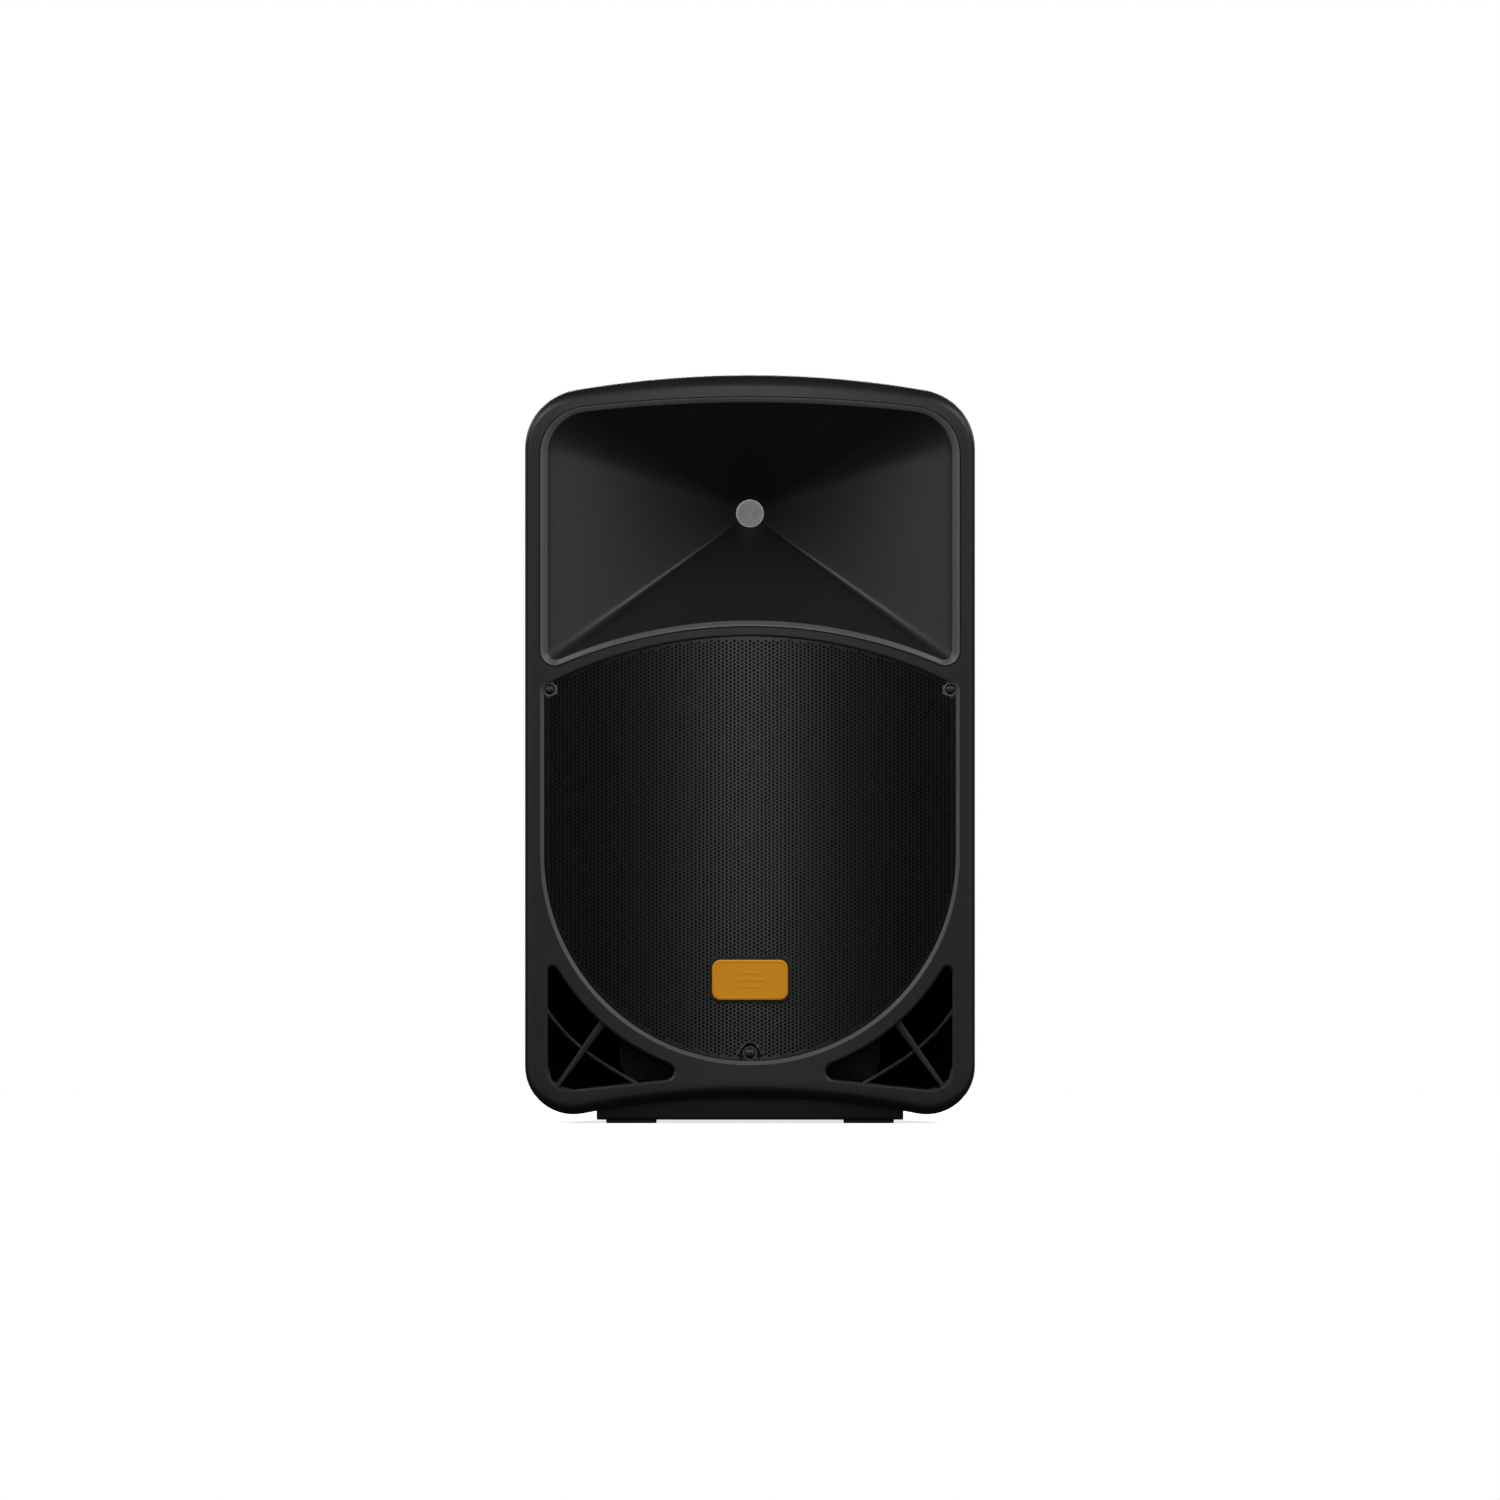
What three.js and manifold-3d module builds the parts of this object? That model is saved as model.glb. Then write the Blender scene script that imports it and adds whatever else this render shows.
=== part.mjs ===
// A two-way active PA loudspeaker. A bowed front baffle and a tapered rear shell, both moulded, hold
// a 15-inch woofer behind a steel grille, a horn with its compression driver, and an amplifier module
// in the back. Millimetres, +Z up, the front faces -Y, and the origin is under the middle of the box.

import * as THREE from 'three';
import { LoftGeometry } from 'three/addons/geometries/LoftGeometry.js';
import { mergeVertices } from 'three/addons/utils/BufferGeometryUtils.js';
import Module from 'manifold-3d';

const wasm = await Module();
wasm.setup();

// ---- Driving dimensions -------------------------------------------------------------------------

const WIDTH = 428;
const HEIGHT = 712;
const DEPTH = 340;
const HALF = WIDTH / 2;
const FRONT = -DEPTH / 2;
const BACK = DEPTH / 2;
const GAP = 0.3;
const WALL = 5;
const BEYOND = 20; // how far a cutting solid reaches past what it cuts

// Outlines seen from the front. The top is a shallow crown, the bottom a shallow arch, and the
// corners are tangent to both. `sill` is the arch's height at the middle.
const CABINET = {
  half: HALF, top: HEIGHT, crown: 1000, topCorner: 57, bottomCorner: 46, sill: 25.5, arch: 795,
};
const LIP_OUTSIDE = {
  half: 199.5, top: 690.5, crown: 1400, topCorner: 46, bottomCorner: 14, sill: 473, arch: 464.7,
};
const LIP_INSIDE = {
  half: 192.4, top: 685.5, crown: 1395, topCorner: 40, bottomCorner: 8, sill: 478.3, arch: 470,
};

const BOW = 21; // how far the sides of the face lie behind its middle
const LIP_PROUD = 1;
const EDGE_BEVEL = 7;
const BAFFLE_BACK = -114;
const WELL_FLOOR = -124;
const BAFFLE_END = -95;
const SHELL_START = -93;
const TAPER_START = -40;
const TAPER = 0.41; // the side walls' slope towards the back
const SHOULDER = 165;
const BACK_BEVEL = 6;
const SEAM_STEP = 2; // the shell is narrower than the baffle on each side

const WOOFER_Z = 255.5;
const WELL_RADIUS = 195.7;
const WELL_TOP = 464;
const WELL_CROWN = 432;
const WELL_CORNER = 8;
const WOOFER_HOLE = 178;
const GRILLE_SET = 4;
const GRILLE_THICKNESS = 1.2;
const FOAM_THICKNESS = 4;
const GRILLE_SCREWS = { left: [-190.5, 412.8], right: [190.5, 412.8], bottom: [0, 67] };
const SCREW_HEAD = 4.8;
const SCREW_SHANK = 2.1;
const SCREW_LENGTH = 16;
const BADGE = [0, 137];

const THROAT_Z = 581.7;
const THROAT_Y = -20;
const THROAT_RADIUS = 13.2;
const HORN_WALL = 3;
const FLANGE_DEPTH = 4;
const LEDGE = 2.5;

const PORT_SIDE = 192.4;
const PORT_ARC = 212.8; // its long side runs round the woofer at this radius
const PORT_SILL = { x: -175.8, z: 31.4, slope: 0.1074 };
const PORT_CORNER = 21;
const PORT_TOP_TIP = 5;
const PORT_INNER_TIP = 8;
const PORT_WALL = 3;
const PORT_BACK = -25;
const STOUT_RIB = [[-145.8, 95.5], [-184.5, 37.5], [-181.5, 35], [-139.5, 91.5]];
const SLIM_RIB = [[-197, 110], [-163.5, 73.5], [-112, 38.5], [-110, 40.5], [-161.5, 76.5], [-195, 113]];

const FOOT_HEIGHT = 3;
const PLINTH_BOTTOM = FOOT_HEIGHT + GAP;
const PLINTH_TOP = 45; // trimmed to the cabinet's bottom wall
const PLINTH_FRONT = -128;
const PLINTH_BACK = 135;
const PLINTH_HALF = 146;
const PLINTH_BACK_HALF = 118;
const POLE_Y = 10;
const POLE_RADIUS = 18;
const POLE_WALL = 3;
const POLE_FLANGE = 35;
const POLE_TOP = 93;

const HANDLE_Y = 35;
const HANDLE_Z = 400;
const HANDLE_LENGTH = 150;
const HANDLE_WIDTH = 100;
const HANDLE_DEPTH = 42;
const HANDLE_RIM = 6; // the width of the flange round the cup
const HANDLE_WALL = 2.5;

const PANEL = { half: 96.7, bottom: 195.3, top: 544.7, front: 152.3, thickness: 2.5 };
const PANEL_MIDDLE = [0, (PANEL.bottom + PANEL.top) / 2];
const PANEL_HALF_HEIGHT = (PANEL.top - PANEL.bottom) / 2;
const PANEL_CORNER = 4;
const LEDGE_WIDTH = 11;
const RECESS_WALL = 4;
const PANEL_FACE = PANEL.front + PANEL.thickness;
const SEAT_Y = PANEL_FACE + GAP; // where the pieces on the panel sit

const KNOBS = {
  level_knob_1: [55, 408], level_knob_2: [22, 408], treble_knob: [-18, 408], bass_knob: [-51, 408],
};
const KNOB_RADIUS = 8;
const KNOB_HEIGHT = 11;
const KNOB_SKIRT = 4;
const SHAFT_RADIUS = 3;
const COMBO_SOCKETS = [[55, 350], [15, 350]];
const LINK_SOCKET = [-30, 350];
const MIC_LINE_BUTTONS = [[55, 318], [15, 318]];
const BUTTON_HALF = 3.5;
const FLANGE_THICKNESS = 2;
const PANEL_CLEARANCE = 0.5; // round each piece that goes through the panel
const INLET = [-45, 246];
const SWITCH = [40, 246];
const SWITCH_PIVOT_Y = 151;
const SWITCH_REST_TILT = 10; // degrees from level, in the off position
const ROCKER_HALF_WIDTH = 8.5;
const ROCKER = [[-5, 6], [-1, 10.5], [8, 10.5], [5.4, 0], [8, -10.5], [-1, -10.5], [-5, -6]];

const ROUND = 20; // sides on a large round piece
const SMALL_ROUND = 12;

// ---- Materials ----------------------------------------------------------------------------------

const material = (color, roughness, metalness = 0) =>
  new THREE.MeshStandardMaterial({ color, roughness, metalness });

const MATERIALS = {
  cabinet: material('#1d1d1e', 0.55),
  horn: material('#1a1a1b', 0.5),
  grille: material('#141415', 0.5, 0.4),
  foam: material('#0a0a0a', 0.95),
  rubber: material('#101010', 0.85),
  amber: material('#d8961f', 0.4),
  screw: material('#1c1c1d', 0.35, 0.8),
  throat: material('#77777a', 0.45, 0.6),
  paper: material('#191919', 0.9),
  cloth: material('#3a2c1c', 0.9),
  basket: material('#222224', 0.45, 0.6),
  ferrite: material('#2c2c2e', 0.7),
  steel: material('#8e9092', 0.35, 0.9),
  copper: material('#a0562b', 0.4, 0.8),
  aluminium: material('#26272a', 0.4, 0.8),
  panel: material('#161617', 0.5, 0.5),
  plastic: material('#0e0e0f', 0.45),
  knob: material('#2a2a2c', 0.5),
  board: material('#17402a', 0.6),
};

// ---- Solids -------------------------------------------------------------------------------------

const point = (x, y) => new THREE.Vector2(x, y);

function solid(geometry) {
  const bare = new THREE.BufferGeometry();
  bare.setAttribute('position', geometry.getAttribute('position'));
  bare.setIndex(geometry.index);
  const merged = mergeVertices(bare, 1e-4);
  const made = new wasm.Manifold(new wasm.Mesh({
    numProp: 3,
    vertProperties: merged.attributes.position.array,
    triVerts: new Uint32Array(merged.index.array),
  }));
  if (made.volume() <= 0) throw new Error('a profile runs the wrong way round');
  return made;
}

const join = (first, ...others) => others.reduce((sum, other) => sum.add(other), first);
const cut = (first, ...others) => others.reduce((rest, other) => rest.subtract(other), first);

function geometryOf(made) {
  const { vertProperties, triVerts } = made.getMesh();
  const geometry = new THREE.BufferGeometry();
  geometry.setAttribute('position', new THREE.BufferAttribute(vertProperties, 3));
  geometry.setIndex(new THREE.BufferAttribute(triVerts, 1));
  const flat = geometry.toNonIndexed();
  flat.computeVertexNormals();
  return flat;
}

const speaker = new THREE.Group();

function node(name, made, finish) {
  const mesh = new THREE.Mesh(geometryOf(made), finish);
  mesh.name = name;
  speaker.add(mesh);
  return mesh;
}

const extruded = (points, depth) =>
  new THREE.ExtrudeGeometry(new THREE.Shape(points), { depth, bevelEnabled: false });

// A prism of an (x, z) outline, from y = front to y = back.
function prismY(points, front, back) {
  return solid(extruded(points, back - front).rotateX(Math.PI / 2).translate(0, back, 0));
}

// A prism of an (x, y) outline, from z = bottom to z = top.
function prismZ(points, bottom, top) {
  return solid(extruded(points, top - bottom).translate(0, 0, bottom));
}

// A prism of a (y, z) outline, from x = left to x = right.
function prismX(points, left, right) {
  const cycle = new THREE.Matrix4().makeBasis(
    new THREE.Vector3(0, 1, 0), new THREE.Vector3(0, 0, 1), new THREE.Vector3(1, 0, 0));
  return solid(extruded(points, right - left).applyMatrix4(cycle).translate(left, 0, 0));
}

function box([x0, y0, z0], [x1, y1, z1]) {
  const geometry = new THREE.BoxGeometry(x1 - x0, y1 - y0, z1 - z0);
  return solid(geometry.translate((x0 + x1) / 2, (y0 + y1) / 2, (z0 + z1) / 2));
}

// A solid turned about the line through (x, z) that runs along Y, from [radius, y] pairs.
// The pairs go round the section with the outside on their right.
function turned(profile, [x, z] = [0, 0], sides = ROUND) {
  const geometry = new THREE.LatheGeometry(profile.map(([radius, y]) => point(radius, y)), sides);
  return solid(geometry.translate(x, 0, z));
}

const disc = (radius, front, back, centre, sides) =>
  turned([[0, front], [radius, front], [radius, back], [0, back]], centre, sides);

const ring = (inner, outer, front, back, centre, sides) =>
  turned([[inner, front], [outer, front], [outer, back], [inner, back], [inner, front]], centre, sides);

// A loft of (x, z) outlines, each at its own y, which may follow x.
function loft(sections) {
  const rows = sections.map(({ points, y }) =>
    points.map((p) => new THREE.Vector3(p.x, typeof y === 'function' ? y(p.x) : y, p.y)).reverse());
  return solid(new LoftGeometry(rows, { closed: true, capStart: true, capEnd: true }));
}

// ---- Outlines -----------------------------------------------------------------------------------

function arc(x, y, radius, from, to, steps) {
  return Array.from({ length: steps + 1 }, (_, i) => {
    const angle = from + (to - from) * i / steps;
    return point(x + radius * Math.cos(angle), y + radius * Math.sin(angle));
  });
}

// One outline from arcs, without the points where one arc ends and the next begins twice over.
function chain(...arcs) {
  const points = arcs.flat();
  return points.filter((p, i) => p.distanceTo(points[(i + 1) % points.length]) > 1e-6);
}

// The same outline with extra points, so that no stretch of it is longer than `step`.
function filled(points, step) {
  return points.flatMap((p, i) => {
    const next = points[(i + 1) % points.length];
    const pieces = Math.ceil(p.distanceTo(next) / step);
    return Array.from({ length: pieces }, (_, k) => p.clone().lerp(next, k / pieces));
  });
}

const mirrored = (points) => points.map((p) => point(-p.x, p.y)).reverse();

// The cabinet's and the horn's outline, anticlockwise from the front, moved inwards by `inset`.
function archedOutline(form, inset = 0) {
  const half = form.half - inset;
  const crown = form.crown - inset;
  const arch = form.arch + inset;
  const topCorner = form.topCorner - inset;
  const bottomCorner = form.bottomCorner - inset;
  const crownZ = form.top - form.crown;
  const archZ = form.sill - form.arch;
  const topX = half - topCorner;
  const topZ = crownZ + Math.sqrt((crown - topCorner) ** 2 - topX ** 2);
  const bottomX = half - bottomCorner;
  const bottomZ = archZ + Math.sqrt((arch + bottomCorner) ** 2 - bottomX ** 2);
  const topAngle = Math.atan2(topZ - crownZ, topX);
  const bottomAngle = Math.atan2(bottomZ - archZ, bottomX);
  return chain(
    arc(0, crownZ, crown, topAngle, Math.PI - topAngle, 6),
    arc(-topX, topZ, topCorner, Math.PI - topAngle, Math.PI, 4),
    arc(-bottomX, bottomZ, bottomCorner, Math.PI, 2 * Math.PI - bottomAngle, 4),
    arc(0, archZ, arch, Math.PI - bottomAngle, bottomAngle, 6),
    arc(bottomX, bottomZ, bottomCorner, Math.PI + bottomAngle, 2 * Math.PI, 4),
    arc(topX, topZ, topCorner, 0, topAngle, 4),
  );
}

// The grille's opening: a crown, short corners, straight sides and a half circle round the woofer.
function wellOutline(inset = 0) {
  const half = WELL_RADIUS - inset;
  const crown = WELL_CROWN - inset;
  const corner = Math.max(WELL_CORNER - inset, 1);
  const crownZ = WELL_TOP - WELL_CROWN;
  const cornerX = half - corner;
  const cornerZ = crownZ + Math.sqrt((crown - corner) ** 2 - cornerX ** 2);
  const angle = Math.atan2(cornerZ - crownZ, cornerX);
  return chain(
    arc(0, crownZ, crown, angle, Math.PI - angle, 8),
    arc(-cornerX, cornerZ, corner, Math.PI - angle, Math.PI, 2),
    arc(0, WOOFER_Z, half, Math.PI, 2 * Math.PI, 18),
    arc(cornerX, cornerZ, corner, 0, angle, 2),
  );
}

// The left port: an upright side, a sill that rises inwards, and an arc round the woofer.
function portOutline(inset = 0) {
  const radius = PORT_ARC + inset;
  const corner = PORT_CORNER - inset;
  const topTip = Math.max(PORT_TOP_TIP - inset, 0.5);
  const innerTip = Math.max(PORT_INNER_TIP - inset, 0.5);
  const side = PORT_SIDE - inset;
  const sillAngle = Math.atan(PORT_SILL.slope);
  const along = point(Math.cos(sillAngle), Math.sin(sillAngle));
  const up = point(-along.y, along.x);
  const sill = point(PORT_SILL.x, PORT_SILL.z).addScaledVector(up, inset);
  const woofer = point(0, WOOFER_Z);

  const topX = -side + topTip;
  const topZ = WOOFER_Z - Math.sqrt((radius + topTip) ** 2 - topX ** 2);
  const cornerX = -side + corner;
  const cornerAlong = (cornerX - sill.x - corner * up.x) / along.x;
  const cornerCentre = sill.clone().addScaledVector(along, cornerAlong).addScaledVector(up, corner);
  const raised = sill.clone().addScaledVector(up, innerTip).sub(woofer);
  const slip = raised.dot(along);
  const innerAlong = -slip - Math.sqrt(slip ** 2 - raised.lengthSq() + (radius + innerTip) ** 2);
  const innerCentre = raised.clone().add(woofer).addScaledVector(along, innerAlong);

  const towardsWoofer = (p) => Math.atan2(woofer.y - p.y, woofer.x - p.x);
  const topTouch = towardsWoofer(point(topX, topZ));
  const innerTouch = towardsWoofer(innerCentre);
  return chain(
    arc(topX, topZ, topTip, topTouch, Math.PI, 3),
    arc(cornerCentre.x, cornerCentre.y, corner, Math.PI, Math.PI * 1.5 + sillAngle, 3),
    arc(innerCentre.x, innerCentre.y, innerTip, sillAngle - Math.PI / 2, innerTouch, 4),
    arc(0, WOOFER_Z, radius, innerTouch + Math.PI, topTouch + Math.PI, 6),
  );
}

const bothPorts = (inset) => [portOutline(inset), mirrored(portOutline(inset))];

function roundedBox(halfWidth, halfHeight, radius, [x, z] = [0, 0]) {
  const right = x + halfWidth - radius;
  const left = x - halfWidth + radius;
  const top = z + halfHeight - radius;
  const bottom = z - halfHeight + radius;
  const quarter = Math.PI / 2;
  return chain(
    arc(right, top, radius, 0, quarter, 2),
    arc(left, top, radius, quarter, 2 * quarter, 2),
    arc(left, bottom, radius, 2 * quarter, 3 * quarter, 2),
    arc(right, bottom, radius, 3 * quarter, 4 * quarter, 2),
  );
}

// ---- The bowed face -----------------------------------------------------------------------------

const faceY = (x) => FRONT + LIP_PROUD + BOW * (x / HALF) ** 2;

// Everything that lies further back than `depth` behind the bowed face.
function behindFace(depth) {
  const steps = 8;
  const reach = HALF + BEYOND;
  const bow = Array.from({ length: steps + 1 }, (_, i) => {
    const x = -reach + 2 * reach * i / steps;
    return point(x, faceY(x) + depth);
  });
  const corners = [point(reach, BACK + BEYOND), point(-reach, BACK + BEYOND)];
  return prismZ([...bow, ...corners], -BEYOND, HEIGHT + BEYOND);
}

const bowedSlab = (points, front, back) =>
  cut(prismY(points, FRONT - BEYOND, BAFFLE_BACK).intersect(behindFace(front)), behindFace(back));

// ---- The plinth that carries the feet -------------------------------------------------------------

// Its plan narrows towards the back, with the cabinet.
function plinthPlan(inset, front, back) {
  const halfAt = (y) => {
    const share = THREE.MathUtils.clamp(y / PLINTH_BACK, 0, 1);
    return THREE.MathUtils.lerp(PLINTH_HALF, PLINTH_BACK_HALF, share) - inset;
  };
  const ends = [front, 0, back].filter((y) => y >= front && y <= back);
  return [
    ...ends.map((y) => point(halfAt(y), y)),
    ...ends.reverse().map((y) => point(-halfAt(y), y)),
  ];
}

function plinth(front, back) {
  return prismZ(plinthPlan(0, front, back), PLINTH_BOTTOM, PLINTH_TOP);
}

function plinthHollow(front, back) {
  return prismZ(plinthPlan(WALL, front, back), PLINTH_BOTTOM + WALL, PLINTH_TOP);
}

const middleRelief = box([-42, PLINTH_FRONT - 1, 0], [42, -60, PLINTH_BOTTOM + 1]);

// ---- Front baffle -------------------------------------------------------------------------------

function baffleBody() {
  const reach = 25;
  const bevelled = loft([
    { points: archedOutline(CABINET, EDGE_BEVEL + reach), y: (x) => faceY(x) - reach },
    { points: archedOutline(CABINET), y: (x) => faceY(x) + EDGE_BEVEL },
    { points: archedOutline(CABINET), y: BAFFLE_END },
  ]);
  return bevelled.intersect(behindFace(0));
}

// The ribs that cross a port: a stout one towards the corner and a slim one behind it. `place` puts
// the left port's outlines where they belong.
function portRibs(place) {
  const outline = (pairs) => place(pairs.map(([x, z]) => point(x, z)));
  const stout = prismY(outline(STOUT_RIB), faceY(PORT_SIDE) - 4, BAFFLE_BACK);
  const slim = prismY(outline(SLIM_RIB), faceY(PORT_SIDE) + 4, BAFFLE_BACK);
  return join(stout, slim).intersect(prismY(place(portOutline(-1)), FRONT, BAFFLE_BACK));
}

function screwBosses() {
  const reach = FRONT + LIP_PROUD;
  const posts = Object.values(GRILLE_SCREWS).map((centre, i) => {
    const isBottom = i === 2;
    const radius = isBottom ? 8 : 6;
    return disc(radius, reach, isBottom ? WELL_FLOOR - 14 : WELL_FLOOR, centre, SMALL_ROUND);
  });
  const behindGrille = behindFace(GRILLE_SET + GRILLE_THICKNESS + 2 * GAP);
  const holes = Object.values(GRILLE_SCREWS).map((centre) =>
    disc(SCREW_SHANK + 0.4, reach, WELL_FLOOR - 6, centre, SMALL_ROUND));
  return cut(join(...posts).intersect(behindGrille), ...holes);
}

const COLLAR = 4; // the thickness of the walls round the well and the horn's seat
const HORN_COLLAR_DEPTH = 12;

function frontBaffle() {
  const all = [FRONT - BEYOND, BACK];
  const lining = prismY(archedOutline(CABINET, WALL), ...all);
  const wellWall = prismY(wellOutline(-COLLAR), ...all);
  const hornCollar = cut(prismY(archedOutline(LIP_OUTSIDE, -COLLAR), ...all), behindFace(HORN_COLLAR_DEPTH));
  const portCollars = bothPorts(-PORT_WALL).map((outline) => prismY(outline, ...all));
  const hollow = cut(
    lining.intersect(behindFace(WALL)),
    cut(join(wellWall, ...portCollars), prismY(archedOutline(CABINET, -BEYOND), BAFFLE_BACK, BACK)),
    hornCollar,
  );
  const base = cut(
    plinth(PLINTH_FRONT, BAFFLE_END),
    lining,
    cut(plinthHollow(PLINTH_FRONT + WALL, BAFFLE_END + 1), prismY(archedOutline(CABINET), ...all)),
    middleRelief,
  );
  const well = prismY(wellOutline(), FRONT - BEYOND, WELL_FLOOR);
  const wooferHole = disc(WOOFER_HOLE, WELL_FLOOR - 1, BAFFLE_BACK + 1, [0, WOOFER_Z], ROUND);
  const hornSeat = cut(prismY(archedOutline(LIP_OUTSIDE, -GAP), ...all), behindFace(FLANGE_DEPTH + GAP));
  const hornHole = prismY(archedOutline(LIP_OUTSIDE, LEDGE), ...all);
  const ports = bothPorts(0).map((outline) => prismY(outline, FRONT - BEYOND, BAFFLE_BACK + 1));
  const shell = cut(join(cut(baffleBody(), hollow), base), well, wooferHole, hornSeat, hornHole, ...ports);
  return join(shell, screwBosses(), portRibs((points) => points), portRibs(mirrored));
}

node('front_baffle', frontBaffle(), MATERIALS.cabinet);

// ---- Horn ---------------------------------------------------------------------------------------

const throatRing = (mouth, radius) => mouth.map((p) => {
  const angle = Math.atan2(p.y - THROAT_Z, p.x);
  return point(radius * Math.cos(angle), THROAT_Z + radius * Math.sin(angle));
});

const HORN_STEP = 75; // the longest facet round the mouth
const HORN_CURVE = 1.12;
const DRIVER_FLANGE = { radius: 48, thickness: 6 };

// The horn's flare, grown by `grow` all round. `share` is 0 at the throat and 1 at the mouth.
function hornFlare(grow, reach) {
  const mouth = filled(archedOutline(LIP_INSIDE, -grow), HORN_STEP);
  const throat = throatRing(mouth, THROAT_RADIUS + grow);
  const sections = [1, 0.4, 0].map((share) => ({
    points: mouth.map((p, i) => throat[i].clone().lerp(p, share ** HORN_CURVE)),
    y: (x) => THREE.MathUtils.lerp(THROAT_Y, faceY(x) - LIP_PROUD, share),
  }));
  return loft([
    { points: mouth, y: (x) => faceY(x) - LIP_PROUD - reach },
    ...sections,
    { points: throat, y: THROAT_Y + GAP },
  ]);
}

function hornWaveguide() {
  const mouthFlange = bowedSlab(archedOutline(LIP_OUTSIDE), -LIP_PROUD, FLANGE_DEPTH);
  const { radius, thickness } = DRIVER_FLANGE;
  const throatFlange = disc(radius, THROAT_Y - thickness, THROAT_Y, [0, THROAT_Z], ROUND);
  const flare = hornFlare(HORN_WALL, 0.5)
    .intersect(behindFace(-LIP_PROUD))
    .intersect(prismY(archedOutline(CABINET), FRONT, THROAT_Y));
  return cut(join(flare, mouthFlange, throatFlange), hornFlare(0, 30));
}

node('horn_waveguide', hornWaveguide(), MATERIALS.horn);
node('throat_screen', disc(THROAT_RADIUS - GAP, THROAT_Y - 1.2, THROAT_Y, [0, THROAT_Z], 16),
  MATERIALS.throat);

// ---- Rear shell ---------------------------------------------------------------------------------

// The cabinet's outline at a distance from the front: narrower and lower towards the back.
function shellForm(y) {
  const behind = Math.max(y - TAPER_START, 0);
  const length = SHOULDER - TAPER_START;
  const shared = behind / length;
  return {
    ...CABINET,
    half: HALF - (y > SHELL_START ? SEAM_STEP : 0) - TAPER * behind,
    top: HEIGHT - 20 * shared,
    sill: CABINET.sill + 6 * shared,
    topCorner: CABINET.topCorner - 20 * shared,
    bottomCorner: CABINET.bottomCorner - 12 * shared,
  };
}

function rearShell() {
  const at = (y, inset = 0) => ({ points: archedOutline(shellForm(y), inset), y });
  const back = { points: archedOutline(shellForm(SHOULDER), BACK_BEVEL), y: BACK };
  const outside = loft([at(SHELL_START), at(TAPER_START), at(SHOULDER), back]);
  const inside = loft([
    { points: archedOutline(shellForm(SHELL_START), WALL), y: SHELL_START - 1 },
    at(TAPER_START, WALL),
    at(SHOULDER, WALL),
  ]);
  const base = cut(
    plinth(BAFFLE_END + 2, PLINTH_BACK),
    inside,
    cut(plinthHollow(SHELL_START - 1, PLINTH_BACK - WALL), outside),
    middleRelief,
  );
  const recessHalf = PANEL.half + GAP;
  const recessHeight = PANEL_HALF_HEIGHT + GAP;
  const ledgeY = PANEL.front - GAP;
  const frame = prismY(
    roundedBox(recessHalf + RECESS_WALL, recessHeight + RECESS_WALL, 2 * PANEL_CORNER, PANEL_MIDDLE),
    ledgeY - WALL, BACK - 1);
  const recess = prismY(roundedBox(recessHalf, recessHeight, PANEL_CORNER, PANEL_MIDDLE), ledgeY, BACK + 1);
  const opening = prismY(
    roundedBox(recessHalf - LEDGE_WIDTH, recessHeight - LEDGE_WIDTH, PANEL_CORNER, PANEL_MIDDLE),
    ledgeY - WALL - 1, BACK);
  const poleHole = turnedZ(POLE_RADIUS + POLE_WALL + 1, 0, PLINTH_TOP);
  const flangeSeat = turnedZ(POLE_FLANGE + 1, 0, PLINTH_BOTTOM + 3 + GAP);
  const handleHoles = [1, -1].map((side) => handleFrame(handleCupOutline(-1), -WALL - 4, 3, side));
  return cut(join(cut(outside, inside), base, frame), recess, opening, poleHole, flangeSeat, ...handleHoles);
}

// A round post about the pole's upright axis.
function turnedZ(radius, bottom, top) {
  const geometry = new THREE.CylinderGeometry(radius, radius, top - bottom, ROUND);
  return solid(geometry.rotateX(Math.PI / 2).translate(0, POLE_Y, (top + bottom) / 2));
}

// ---- Side handles: a cup let into each slanted side wall, with an upright bar across it -----------

const handleCupOutline = (inset) =>
  roundedBox(HANDLE_WIDTH / 2 - HANDLE_RIM - inset, HANDLE_LENGTH / 2 - HANDLE_RIM - inset, 14);

// Places a prism in a side wall's own frame: the outline's x runs back along the wall, its y runs up,
// and `low` to `high` is the distance out of the wall. `side` is 1 on the right and -1 on the left.
function handleFrame(outline, low, high, side) {
  const slant = Math.atan(TAPER);
  const along = new THREE.Vector3(-Math.sin(slant), side * Math.cos(slant), 0);
  const up = new THREE.Vector3(0, 0, 1);
  const out = new THREE.Vector3(side * Math.cos(slant), Math.sin(slant), 0);
  const place = new THREE.Matrix4().makeBasis(along, up, out);
  place.setPosition(side * shellForm(HANDLE_Y).half, HANDLE_Y, HANDLE_Z);
  const points = side > 0 ? outline : mirrored(outline);
  return solid(extruded(points, high - low).translate(0, 0, low).applyMatrix4(place));
}

function sideHandle(side) {
  const flange = handleFrame(roundedBox(HANDLE_WIDTH / 2, HANDLE_LENGTH / 2, 16), GAP, GAP + 2, side);
  const cup = handleFrame(handleCupOutline(0), -HANDLE_DEPTH, GAP + 1, side);
  const hollow = handleFrame(handleCupOutline(HANDLE_WALL), HANDLE_WALL - HANDLE_DEPTH, BEYOND, side);
  const grip = roundedBox(11, HANDLE_LENGTH / 2 - 7, 5, [18, 0]);
  const bar = handleFrame(grip, -16, GAP + 1, side);
  return join(cut(join(flange, cup), hollow), bar);
}

node('rear_shell', rearShell(), MATERIALS.cabinet);
node('side_handle_right', sideHandle(1), MATERIALS.cabinet);
node('side_handle_left', sideHandle(-1), MATERIALS.cabinet);

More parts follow.
